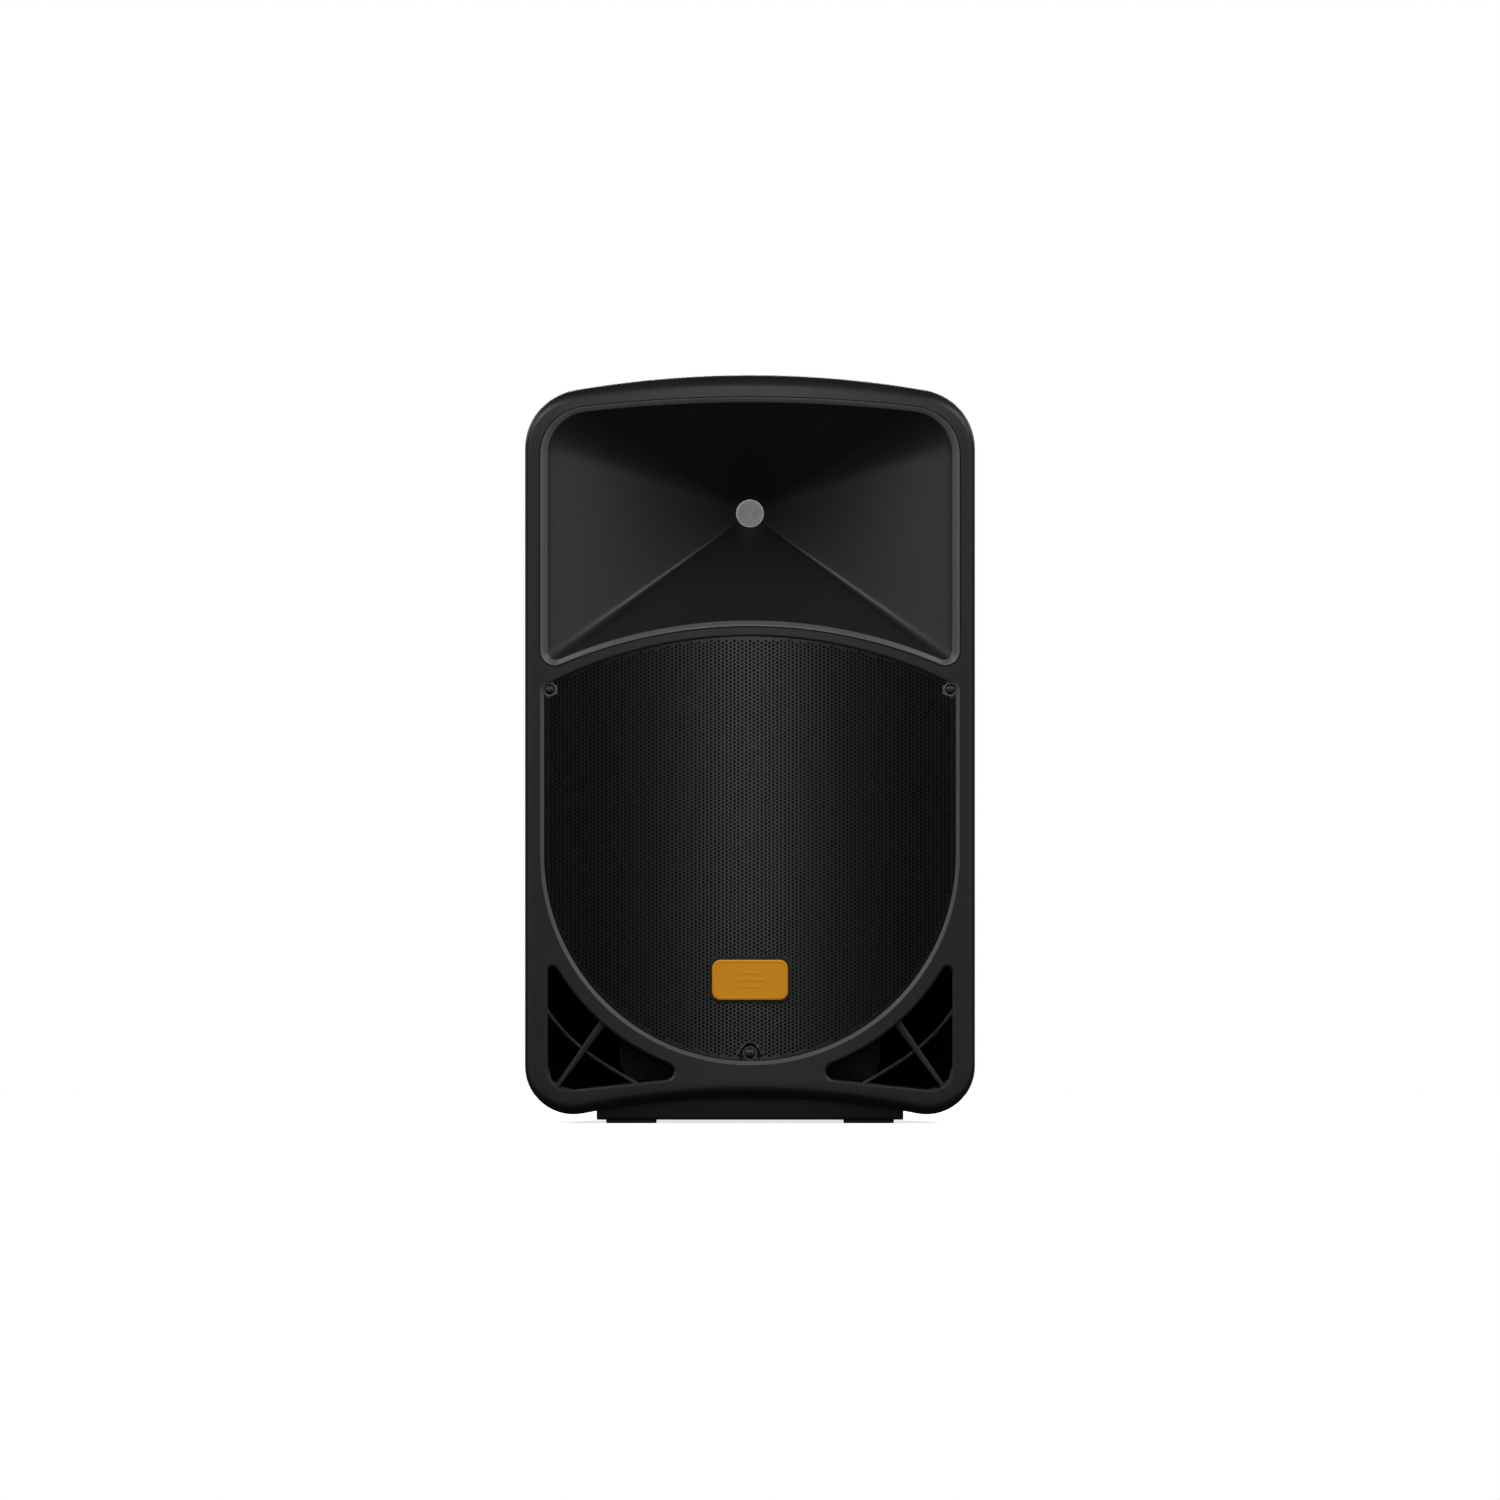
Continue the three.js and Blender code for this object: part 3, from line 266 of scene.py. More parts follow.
def outward(points):
    """The outward unit normal at each point of an anticlockwise outline."""
    normals = []
    for i in range(len(points)):
        (x0, z0), (x1, z1) = points[i - 1], points[(i + 1) % len(points)]
        length = math.hypot(x1 - x0, z1 - z0)
        normals.append(((z1 - z0) / length, (x0 - x1) / length))
    return normals


def grown(points, by):
    """An outline moved outwards; `by` is a distance, or one from the outward normal."""
    made = []
    for (x, z), (nx, nz) in zip(points, outward(points)):
        distance = by(nx, nz) if callable(by) else by
        made.append((x + nx * distance, z + nz * distance))
    return made


def inside(points, outline):
    """Which of the (x, z) points lie inside the outline, as an array."""
    x, z = np.asarray(points).T
    found = np.zeros(len(x), bool)
    for (x0, z0), (x1, z1) in zip(outline, outline[1:] + outline[:1]):
        if z0 == z1:
            continue
        crosses = (z0 > z) != (z1 > z)
        found ^= crosses & (x < x0 + (z - z0) * (x1 - x0) / (z1 - z0))
    return found


# ---- Surfaces and pieces ----

def centre_of(node):
    """The middle of a CAD node seen from the front, in millimetres."""
    node_low, node_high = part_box(node)
    return ((node_low.x + node_high.x) / 2 / MM, (node_low.z + node_high.z) / 2 / MM)


def face_y(x):
    """The bowed front face."""
    return FRONT + LIP_PROUD + BOW * (x / HALF) ** 2


def flat(points, y):
    return [(x, y, z) for x, z in points]


def level(points, z):
    """Points seen from above, as (x, y), set at a height."""
    return [(x, y, z) for x, y in points]


def bowed(points, depth):
    """An outline on the face, or `depth` behind it."""
    return [(x, face_y(x) + depth, z) for x, z in points]


class Surface:
    """Points in millimetres and the faces between them, built up ring by ring."""

    def __init__(self):
        self.points = []
        self.faces = []

    def ring(self, points):
        start = len(self.points)
        self.points.extend(tuple(p) for p in points)
        return list(range(start, len(self.points)))

    def bridge(self, first, second):
        for i in range(len(first)):
            self.faces.append((first[i - 1], first[i], second[i], second[i - 1]))

    def sweep(self, sections):
        """Joins the sections in turn and returns the first and last ring."""
        rings = [self.ring(section) for section in sections]
        for first, second in zip(rings, rings[1:]):
            self.bridge(first, second)
        return rings[0], rings[-1]

    def cap(self, ring):
        self.faces.append(tuple(ring))

    def fill(self, outer, holes=(), extra=()):
        """Triangles between an outer ring and the holes in it, through the extra points."""
        rings = [outer, *holes]
        indices = [i for ring in rings for i in ring] + self.ring(extra)
        edges = []
        start = 0
        for ring in rings:
            count = len(ring)
            edges += [(start + i, start + (i + 1) % count) for i in range(count)]
            start += count
        plan = [Vector((self.points[i][0], self.points[i][2])) for i in indices]
        found, _, faces, sources, _, _ = delaunay_2d_cdt(plan, edges, [], 0, 1e-5)
        centres = [tuple(sum((found[v] for v in face), Vector((0, 0))) / len(face)) for face in faces]
        keep = inside(centres, [tuple(plan[i]) for i in range(len(outer))])
        start = len(outer)
        for hole in holes:
            keep &= ~inside(centres, [tuple(plan[start + i]) for i in range(len(hole))])
            start += len(hole)
        for face, kept in zip(faces, keep):
            if kept:
                self.faces.append(tuple(indices[sources[v][0]] for v in face))

    def object(self):
        mesh = bpy.data.meshes.new("shape")
        mesh.from_pydata([Vector(p) * MM for p in self.points], [], self.faces)
        mesh.validate()
        reworked(mesh)
        return added("shape", mesh)


def added(name, data):
    """A new object in the scene."""
    made = bpy.data.objects.new(name, data)
    bpy.context.scene.collection.objects.link(made)
    return made


def reworked(mesh, change=None):
    """Makes a change to a mesh, given as a function of its bmesh, and turns every face outwards."""
    work = bmesh.new()
    work.from_mesh(mesh)
    if change:
        change(work)
    bmesh.ops.recalc_face_normals(work, faces=work.faces)
    work.to_mesh(mesh)
    work.free()


def welded(made):
    """The object with the points that lie on each other merged."""
    reworked(made.data, lambda work: bmesh.ops.remove_doubles(work, verts=work.verts, dist=1e-6))
    return made


def solid(sections):
    """A closed body through the sections, capped at both ends."""
    surface = Surface()
    first, last = surface.sweep(sections)
    surface.cap(first)
    surface.cap(last)
    return surface.object()


def hollow(sections):
    """A closed body whose last section joins its first."""
    surface = Surface()
    first, last = surface.sweep(sections)
    surface.bridge(last, first)
    return surface.object()


def prism(outline, start, end):
    """A straight block from one y to another."""
    return solid([flat(outline, start), flat(outline, end)])


def stack(outline, levels):
    """A block through the outline, grown, at each (growth, y)."""
    return solid([flat(grown(outline, out), y) for out, y in levels])


def combined(target, others, operation):
    """The target with the others cut from it or joined to it; the others are used up."""
    for other in others:
        modifier = target.modifiers.new(operation, "BOOLEAN")
        modifier.operation = operation
        modifier.solver = "MANIFOLD"
        modifier.object = other
    depsgraph = bpy.context.evaluated_depsgraph_get()
    mesh = bpy.data.meshes.new_from_object(target.evaluated_get(depsgraph))
    target.modifiers.clear()
    target.data = mesh
    for other in others:
        bpy.data.objects.remove(other)
    return target


def cut(target, *others):
    return combined(target, others, "DIFFERENCE")


def join(target, *others):
    return combined(target, others, "UNION")


def piece(made, name, slot, nodes=(), body="cabinet", material=None):
    """Finishes a piece: its name, shading, material, the body it rides on and the CAD it stands for.

    The material is the one named after the slot, unless another is named.
    """
    made.name = name
    made.data.shade_smooth()
    made.data.set_sharp_from_angle(angle=SHARP)
    made.data.materials.clear()
    made.data.materials.append(MATERIALS[material or slot])
    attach(made, body)
    if nodes:
        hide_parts(*nodes)
    return made


def paint_light(made, outer, inner):
    """Paints a highlight onto the forward faces between two outlines seen from the front, as a paler, shinier
    material.
    """
    second = MATERIALS["painted_light_plastic"]
    if second.name not in made.data.materials:
        made.data.materials.append(second)
    forward = [face for face in made.data.polygons if face.normal.y < -FACES_FORWARD]
    centres = [(face.center.x / MM, face.center.z / MM) for face in forward]
    chosen = inside(centres, outer) & ~inside(centres, inner)
    for face, is_chosen in zip(forward, chosen):
        if is_chosen:
            face.material_index = 1


# ---- Materials ----

class Finish:
    """A Principled material with shortcuts for the textures that feed it."""

    def __init__(self, name="finish", **values):
        self.material = bpy.data.materials.new(name)
        self.material.use_nodes = True
        self.tree = self.material.node_tree
        self.shader = self.tree.nodes["Principled BSDF"]
        for key, value in values.items():
            self.shader.inputs[key].default_value = value
        place = self.tree.nodes.new("ShaderNodeTexCoord")
        self.place = place.outputs["Object"]
        self.bumped = None

    def node(self, kind, **settings):
        made = self.tree.nodes.new(kind)
        for key, value in settings.items():
            setattr(made, key, value)
        return made

    def link(self, output, target):
        self.tree.links.new(output, target)

    def noise(self, size, detail=2.0, stretch=(1, 1, 1)):
        """Noise whose blotches are about `size` millimetres across."""
        mapping = self.node("ShaderNodeMapping")
        mapping.inputs["Scale"].default_value = stretch
        texture = self.node("ShaderNodeTexNoise")
        texture.inputs["Scale"].default_value = 1 / (size * MM)
        texture.inputs["Detail"].default_value = detail
        self.link(self.place, mapping.inputs["Vector"])
        self.link(mapping.outputs["Vector"], texture.inputs["Vector"])
        return texture.outputs["Fac"]

    def cells(self, size, feature="F1"):
        texture = self.node("ShaderNodeTexVoronoi", feature=feature)
        texture.inputs["Scale"].default_value = 1 / (size * MM)
        self.link(self.place, texture.inputs["Vector"])
        return texture.outputs["Distance"]

    def ranged(self, output, low, high, start=0.0, end=1.0):
        node = self.node("ShaderNodeMapRange")
        for key, value in {"From Min": start, "From Max": end, "To Min": low, "To Max": high}.items():
            node.inputs[key].default_value = value
        self.link(output, node.inputs["Value"])
        return node.outputs["Result"]

    def blend(self, share, first, second):
        """A colour between two, each given as a colour or as an output."""
        node = self.node("ShaderNodeMix", data_type="RGBA")
        self.link(share, node.inputs["Factor"])
        for key, value in (("A", first), ("B", second)):
            socket = next(s for s in node.inputs if s.name == key and s.type == "RGBA")
            if isinstance(value, tuple):
                socket.default_value = (*value, 1)
            else:
                self.link(value, socket)
        return next(s for s in node.outputs if s.type == "RGBA")

    def worn_edges(self, low=0.52, high=0.6):
        """Nearly 0 on flats and 1 on sharp convex edges."""
        geometry = self.node("ShaderNodeNewGeometry")
        return self.ranged(geometry.outputs["Pointiness"], 0.0, 1.0, low, high)

    def bump(self, output, depth, strength=1.0):
        """Raises the surface by up to `depth` millimetres; several calls add up."""
        node = self.node("ShaderNodeBump")
        node.inputs["Strength"].default_value = strength
        node.inputs["Distance"].default_value = depth * MM
        self.link(output, node.inputs["Height"])
        if self.bumped:
            self.link(self.bumped, node.inputs["Normal"])
        self.bumped = node.outputs["Normal"]
        self.link(self.bumped, self.shader.inputs["Normal"])

    def colour(self, output):
        self.link(output, self.shader.inputs["Base Color"])

    def roughness(self, output):
        self.link(output, self.shader.inputs["Roughness"])


def shade(level):
    return (level, level, level)


def scaled(colour, by):
    return tuple(min(c * by, 1.0) for c in colour)


def moulded(level, roughness, grain=0.9, depth=0.03, worn=1.6):
    """Black plastic with a fine cast-in grain, faint cloudiness and slightly polished edges."""
    finish = Finish()
    cloud = finish.noise(90, 3)
    base = finish.blend(cloud, shade(level * 0.85), shade(level * 1.15))
    wear = finish.worn_edges()
    finish.colour(finish.blend(wear, base, shade(level * worn)))
    finish.roughness(finish.ranged(finish.noise(14, 4), roughness - 0.05, roughness + 0.05))
    finish.bump(finish.cells(grain), depth, 0.5)
    finish.bump(finish.noise(grain * 0.4, 3), depth * 0.6, 0.4)
    return finish.material


def coated_steel(level, roughness, metallic=0.0):
    """Powder-coated steel: an orange-peel surface with a fine sparkle in it."""
    finish = Finish(Metallic=metallic)
    finish.colour(finish.blend(finish.noise(40, 3), shade(level * 0.8), shade(level * 1.2)))
    finish.roughness(finish.ranged(finish.noise(5, 4), roughness - 0.06, roughness + 0.06))
    finish.bump(finish.noise(0.7, 2), 0.02, 0.35)
    return finish.material


def bare_metal(colour, roughness, stretch=(1, 1, 12)):
    """Turned or rolled metal with fine drawn lines."""
    finish = Finish(Metallic=1.0)
    lines = finish.noise(3, 5, stretch)
    finish.colour(finish.blend(lines, scaled(colour, 0.85), colour))
    finish.roughness(finish.ranged(lines, roughness - 0.08, roughness + 0.1))
    finish.bump(lines, 0.01, 0.3)
    return finish.material


def soft_rubber(level):
    finish = Finish()
    finish.colour(finish.blend(finish.noise(12, 4), shade(level * 0.8), shade(level * 1.4)))
    finish.roughness(finish.ranged(finish.noise(2, 4), 0.72, 0.88))
    finish.bump(finish.noise(0.5, 3), 0.04, 0.5)
    return finish.material


def open_foam():
    """Reticulated foam: small open cells between thin struts."""
    finish = Finish()
    struts = finish.cells(1.6, "DISTANCE_TO_EDGE")
    share = finish.ranged(struts, 1.0, 0.0, 0.0, 0.12)
    finish.colour(finish.blend(share, shade(0.001), shade(0.005)))
    finish.roughness(finish.ranged(share, 1.0, 0.9))
    finish.bump(share, 0.5, 0.8)
    return finish.material


def fibrous(colour, size):
    """Pressed paper or woven cloth."""
    finish = Finish()
    fibres = finish.noise(size, 6, (1, 1, 3))
    finish.colour(finish.blend(fibres, scaled(colour, 0.6), scaled(colour, 1.3)))
    finish.roughness(finish.ranged(fibres, 0.8, 0.95))
    finish.bump(fibres, 0.1, 0.5)
    return finish.material


def enamel(colour):
    """A satin painted plate with a faint mottle."""
    finish = Finish(**{"Specular IOR Level": 0.25})
    mottle = finish.noise(3, 4)
    finish.colour(finish.blend(mottle, scaled(colour, 0.93), scaled(colour, 1.05)))
    finish.roughness(finish.ranged(finish.noise(1.2, 3), 0.3, 0.4))
    finish.bump(finish.noise(0.6, 2), 0.01, 0.2)
    return finish.material


MATERIALS = {
    "cabinet_plastic": moulded(0.012, 0.45),
    "horn_plastic": moulded(0.014, 0.42, grain=0.8, depth=0.02),
    # paler, shinier plastic that paints light: painted highlights on lips, bevels and cup rims, and painted
    # light in the port ducts
    "painted_light_plastic": moulded(0.1, 0.34, grain=0.8, depth=0.012),
    "black_plastic": moulded(0.012, 0.36, grain=0.5, depth=0.012),
    "bezel_plastic": moulded(0.002, 0.62, grain=0.5, depth=0.012),
    "knob_plastic": moulded(0.03, 0.45, grain=0.5, depth=0.015),
    "grille_steel": coated_steel(0.003, 0.29),
    "panel_metal": coated_steel(0.022, 0.4),
    "basket_steel": coated_steel(0.03, 0.4),
    "ferrite": coated_steel(0.03, 0.6),
    "heat_sink_aluminium": coated_steel(0.02, 0.35, 0.6),
    "screw_steel": bare_metal(shade(0.09), 0.36),
    "steel": bare_metal(shade(0.55), 0.3),
    "titanium": bare_metal((0.5, 0.48, 0.45), 0.28),
    "copper": bare_metal((0.72, 0.34, 0.18), 0.3),
    "throat_mesh": bare_metal(shade(0.3), 0.42),
    "rubber": soft_rubber(0.012),
    "foam": open_foam(),
    "cone_paper": fibrous(shade(0.018), 1.2),
    "spider_cloth": fibrous((0.12, 0.07, 0.03), 0.6),
    "board": fibrous((0.012, 0.07, 0.03), 4),
    "badge_amber": enamel((0.92, 0.37, 0.003)),
    "print_white": enamel(shade(0.55)),
}
for name, made in MATERIALS.items():
    made.name = name

# ---- Front baffle ----

FACE_GRID = 8.0
FACE_MARGIN = 3.0
WELL_BEVEL = 3.7
WELL_TOP_BEVEL = 1.4
PORT_LIP = 1.8
SEAM = 0.5
SEAM_CHAMFER = 0.4
NOTCH = 6.8
ROUNDING_STEPS = 8
CABINET_OUTLINE = arched(CABINET)
LINING = arched(CABINET, WALL)
PORTS = (port(), mirrored(port()))
CORNER_SCREWS = ("grille_screw_left", "grille_screw_right")
HOLE_EDGE = [  # how far out and how far down, as shares of the chamfer
    (1.15, 0.0), (1.0, 0.0), (0.93, 0.03), (0.86, 0.07), (0.14, 0.41), (0.07, 0.45), (0.0, 0.56),
]


def edge_radius(nx, nz):
    """The front edge is rounded more at the top and bottom than at the sides."""
    return lerp(SIDE_ROUNDING, TOP_ROUNDING if nz > 0 else BOTTOM_ROUNDING, nz * nz)


def cabinet_edge(share):
    """The outline part way round the front edge: 0 is on the face and 1 on the side."""
    turn = share * pi / 2
    points = []
    for (x, z), (nx, nz) in zip(CABINET_OUTLINE, outward(CABINET_OUTLINE)):
        inset = edge_radius(nx, nz) * (1 - math.sin(turn))
        start = TOP_BAND_DROP * max(nz, 0.0) ** 2
        end = lerp(SIDE_EDGE_DEPTH, END_EDGE_DEPTH, nz * nz)
        edge_x = x - nx * inset
        points.append((edge_x, face_y(edge_x) + lerp(start, end, 1 - math.cos(turn)), z - nz * inset))
    return points


def hole_edge(outline, width, depth):
    """The crisp chamfer round a hole, from the face inwards."""
    return [
        bowed(grown(outline, lambda nx, nz: out * width(nx, nz)), down * depth)
        for out, down in HOLE_EDGE
    ]


def well_bevel(nx, nz):
    return lerp(WELL_BEVEL, WELL_TOP_BEVEL, max(nz, 0.0) ** 2)


def grid_between(outer, holes, spacing):
    """Points on a staggered grid that lie inside `outer` and in none of the holes."""
    rows = range(int(HEIGHT / spacing) + 1)
    columns = range(-int(HALF / spacing), int(HALF / spacing) + 1)
    points = [((i + 0.5 * (k % 2)) * spacing, k * spacing) for k in rows for i in columns]
    keep = inside(points, outer)
    for hole in holes:
        keep &= ~inside(points, hole)
    return [p for p, kept in zip(points, keep) if kept]


PLINTH_EDGE = [(-2.6, 0.0), (-1.2, 0.5), (-0.4, 1.4), (0.0, 3.0), (0.6, 12.0)]  # out and up
PLINTH_FLARE = 1.2


def plinth(front, back):
    """Part of the block under the cabinet, with rounded lower edges. It narrows towards the back."""
    def half_at(y):
        share = min(max(y / PLINTH_BACK, 0.0), 1.0)
        return lerp(PLINTH_HALF, PLINTH_BACK_HALF, share)

    ends = [y for y in (front, 0.0, back) if front <= y <= back]
    plan = [(half_at(y), y) for y in ends] + [(-half_at(y), y) for y in reversed(ends)]
    bottom = FOOT_HEIGHT + GAP
    sections = [level(grown(plan, out), bottom + up) for out, up in PLINTH_EDGE]
    return solid([*sections, level(grown(plan, PLINTH_FLARE), PLINTH_TOP)])


RIB_SPREAD = 0.6


RIBS = [  # route, how far behind the face the rib starts, and its width at each end
    ([(-139, 97), (-152, 79.5), (-165, 61), (-177, 44.5), (-188, 30)], 4.0, (7.4, 3.6)),
    ([(-198, 115), (-187, 99), (-176, 86), (-163, 74), (-149, 63), (-135, 54), (-120, 45), (-104, 36)],
     14.0, (3.4, 3.4)),
]


def rib(route, depth, widths):
    """An upright web along a route of (x, z) points, from `depth` behind the face to the back."""
    middle = [Vector(p) for p in route]
    sides = []
    for i, p in enumerate(middle):
        along = (middle[min(i + 1, len(middle) - 1)] - middle[max(i - 1, 0)]).normalized()
        across = Vector((-along.y, along.x)) * lerp(*widths, i / (len(middle) - 1)) / 2
        sides.append((p + across, p - across))
    outline = [tuple(s[1]) for s in reversed(sides)] + [tuple(s[0]) for s in sides]
    if sum(a[0] * b[1] - b[0] * a[1] for a, b in zip(outline, outline[1:] + outline[:1])) < 0:
        outline.reverse()
    y = face_y(PORT_SIDE) + depth
    levels = [(-RIB_SPREAD, y), (-RIB_SPREAD * 0.3, y + RIB_SPREAD * 0.3), (0.0, y + RIB_SPREAD)]
    return stack(outline, levels + [(0.0, BAFFLE_BACK - GAP)])


def port_ribs():
    """The crossed ribs in both ports, trimmed to the openings."""
    made = []
    for outline, side in zip(PORTS, (1, -1)):
        for route, depth, widths in RIBS:
            web = rib([(side * x, z) for x, z in route], depth, widths)
            trim = prism(grown(outline, 1.0), FRONT, BACK)
            made.append(combined(web, [trim], "INTERSECT"))
    return made


def well_hole(shell):
    """The grille's opening down to its floor, and the woofer's hole on from there."""
    face_ring, floor_outer = shell.sweep([
        *hole_edge(well(), well_bevel, WELL_BEVEL),
        flat(well(), WELL_FLOOR),
    ])
    woofer = circle(WOOFER_HOLE, (0, WOOFER_Z))
    floor_inner, back_ring = shell.sweep([flat(woofer, WELL_FLOOR), flat(woofer, BAFFLE_BACK)])
    shell.fill(floor_outer, [floor_inner])
    return face_ring, back_ring


def port_hole(shell, outline):
    edge = hole_edge(outline, lambda nx, nz: PORT_LIP, PORT_LIP)
    return shell.sweep([*edge, flat(outline, BAFFLE_BACK)])


def horn_hole(shell):
    """The horn's opening, with a ledge for its flange."""
    seat = arched(LIP_OUTSIDE, -SEAM)
    hole = arched(LIP_OUTSIDE, LEDGE)
    depth = FLANGE_DEPTH + GAP
    return shell.sweep([
        bowed(grown(seat, SEAM_CHAMFER), 0.0),
        bowed(seat, SEAM),
        bowed(seat, depth),
        bowed(hole, depth),
        flat(hole, BAFFLE_BACK),
    ])


def face_points():
    """Points that make the face follow its bow, clear of its edges."""
    gap = FACE_MARGIN + WELL_BEVEL
    outer = grown(CABINET_OUTLINE, lambda nx, nz: -edge_radius(nx, nz) - FACE_MARGIN)
    holes = [grown(well(), gap), arched(LIP_OUTSIDE, -gap), *(grown(p, gap) for p in PORTS)]
    return bowed(grid_between(outer, holes, FACE_GRID), 0.0)


def baffle_skin():
    """The baffle's edge, face, openings and back as one closed surface."""
    shell = Surface()
    outer, _ = shell.sweep([
        *(cabinet_edge(i / ROUNDING_STEPS) for i in range(ROUNDING_STEPS + 1)),
        flat(CABINET_OUTLINE, BAFFLE_END),
    ])
    _, back_outer = shell.sweep([
        flat(CABINET_OUTLINE, BAFFLE_END),
        flat(LINING, BAFFLE_END),
        flat(LINING, BAFFLE_BACK),
    ])
    well_rings = well_hole(shell)
    port_rings = [port_hole(shell, outline) for outline in PORTS]
    face_rings, back_rings = zip(well_rings, horn_hole(shell), *port_rings)
    shell.fill(outer, face_rings, face_points())
    shell.fill(back_outer, back_rings)
    return welded(shell.object())


def front_baffle():
    """The skin with the plinth's front, the ports' ribs and the notches for the corner screws."""
    inner = prism(LINING, FRONT, BACK)
    made = join(baffle_skin(), cut(plinth(PLINTH_FRONT, BAFFLE_END), inner), *port_ribs())
    return cut(made, *(prism(circle(NOTCH, centre_of(n)), FRONT, WELL_FLOOR) for n in CORNER_SCREWS))


baffle = piece(front_baffle(), "baffle_shell", "cabinet_plastic", ["front_baffle"])
# The chamfer round the grille's opening gets a painted highlight in the paler plastic.
paint_light(baffle, grown(well(), well_bevel), well())

# ---- Horn ----

HORN_CURVE = 1.12
HORN_SECTIONS = 26
MOUTH_DEPTH = 2.1
THROAT_FLANGE = (48.0, 6.0)  # radius and height
OUTSIDE_START = 0.045  # the flare's outside leaves the throat's flange at this share of the way
LIP_PROFILE = [  # how far across the lip, and how far behind the face
    (0.0, FLANGE_DEPTH), (0.0, -0.5), (0.02, -0.8), (0.05, -0.95), (0.1, -0.95),
    (0.45, -0.1), (0.8, 0.8), (0.86, 0.98), (0.93, 1.4), (1.0, MOUTH_DEPTH),
]


def throat_ring(mouth, radius, y):
    """A ring at the throat with one point for each point of the mouth, at the same angle."""
    return flat([polar((0.0, THROAT_Z), radius, math.atan2(z - THROAT_Z, x)) for x, z in mouth], y)


def flare_section(mouth, radius, share):
    """The flare part way from the throat, at 0, to the mouth, at 1."""
    throat = [(x, z) for x, _, z in throat_ring(mouth, radius, THROAT_Y)]
    plan = [between(start, end, share ** HORN_CURVE) for start, end in zip(throat, mouth)]
    return [(x, lerp(THROAT_Y, face_y(x) + MOUTH_DEPTH, share), z) for x, z in plan]


def horn_waveguide():
    mouth = arched(LIP_INSIDE)
    rim = arched(LIP_OUTSIDE)
    behind = grown(mouth, HORN_WALL)
    outside = THROAT_RADIUS + HORN_WALL
    radius, height = THROAT_FLANGE
    shares = [i / HORN_SECTIONS for i in range(HORN_SECTIONS + 1)]
    return welded(hollow([
        throat_ring(mouth, radius, THROAT_Y),
        throat_ring(mouth, radius, THROAT_Y - height),
        *(flare_section(behind, outside, max(share, OUTSIDE_START)) for share in shares[1:]),
        bowed(behind, FLANGE_DEPTH),
        *(bowed([between(a, b, across) for a, b in zip(rim, mouth)], depth) for across, depth in LIP_PROFILE),
        *(flare_section(mouth, THROAT_RADIUS, share) for share in reversed(shares[:-1])),
    ]))


horn = piece(horn_waveguide(), "waveguide", "horn_plastic", ["horn_waveguide"])
# The horn's lip gets a painted highlight in the paler plastic.
paint_light(horn, arched(LIP_OUTSIDE), arched(LIP_INSIDE))

# ---- Perforated sheets ----


def perforated(outline, pitch, hole, thickness, is_open):
    """A flat sheet in the y = 0 plane with staggered columns of six-sided holes, trimmed to an outline.

    `is_open` says which cells have a hole, from an array of their (x, z) centres.
    """
    xs, zs = zip(*outline)
    columns = range(math.floor(min(xs) / pitch) - 1, math.ceil(max(xs) / pitch) + 2)
    rows = range(math.floor(min(zs) / pitch) - 1, math.ceil(max(zs) / pitch) + 2)
    cells = [(i, k) for i in columns for k in rows]
    centres = [(i * pitch, (k + 0.5 * (i % 2)) * pitch) for i, k in cells]
    opened = is_open(centres)
    surface = Surface()
    shared = {}

    def corner(a, b, y):
        if (a, b, y) not in shared:
            shared[a, b, y] = surface.ring([(a * pitch / 2, y, b * pitch / 2)])[0]
        return shared[a, b, y]

    around = [(1, 0), (1, 1), (-1, 1), (-1, 0), (-1, -1), (1, -1)]
    hexagon = circle(hole, steps=6)
    for (i, k), (x, z), has_hole in zip(cells, centres, opened):
        edges = [[corner(2 * i + a, 2 * k + i % 2 + b, y) for a, b in around] for y in (0.0, thickness)]
        if not has_hole:
            surface.cap(edges[0])
            surface.cap(edges[1][::-1])
            continue
        rims = [surface.ring([(x + hx, y, z + hz) for hx, hz in hexagon]) for y in (0.0, thickness)]
        surface.bridge(edges[0], rims[0])
        surface.bridge(rims[0], rims[1])
        surface.bridge(rims[1], edges[1])
    made = surface.object()
    reworked(made.data, close_border)
    return combined(made, [prism(outline, -1.0, thickness + 1.0)], "INTERSECT")


def close_border(work):
    """Joins the front and back of a sheet along its open outer edge."""
    bmesh.ops.bridge_loops(work, edges=[e for e in work.edges if e.is_boundary])


def turned(profile, centre=(0.0, 0.0), steps=48):
    """A solid of revolution about a line along y, from (radius, y) pairs off the axis."""
    return solid([flat(circle(radius, centre, steps), y) for radius, y in profile])


SCREEN_PITCH = 1.15
SCREEN_HOLE = 0.3
SCREEN_RADIUS = THROAT_RADIUS - GAP
SCREEN_MARGIN = 1.4
SCREEN_THICKNESS = 0.5
SCREEN_SET = 1.2


def throat_screen():
    outline = circle(SCREEN_RADIUS, (0, THROAT_Z), 64)
    holed = grown(outline, -SCREEN_MARGIN)
    sheet = perforated(
        outline, SCREEN_PITCH, SCREEN_HOLE, SCREEN_THICKNESS, lambda centres: inside(centres, holed))
    sheet.data.transform(Matrix.Translation((0, (THROAT_Y - SCREEN_SET) * MM, 0)))
    return sheet


piece(throat_screen(), "driver_screen", "throat_mesh", ["throat_screen"])

# ---- Grille, its screws and the badge ----

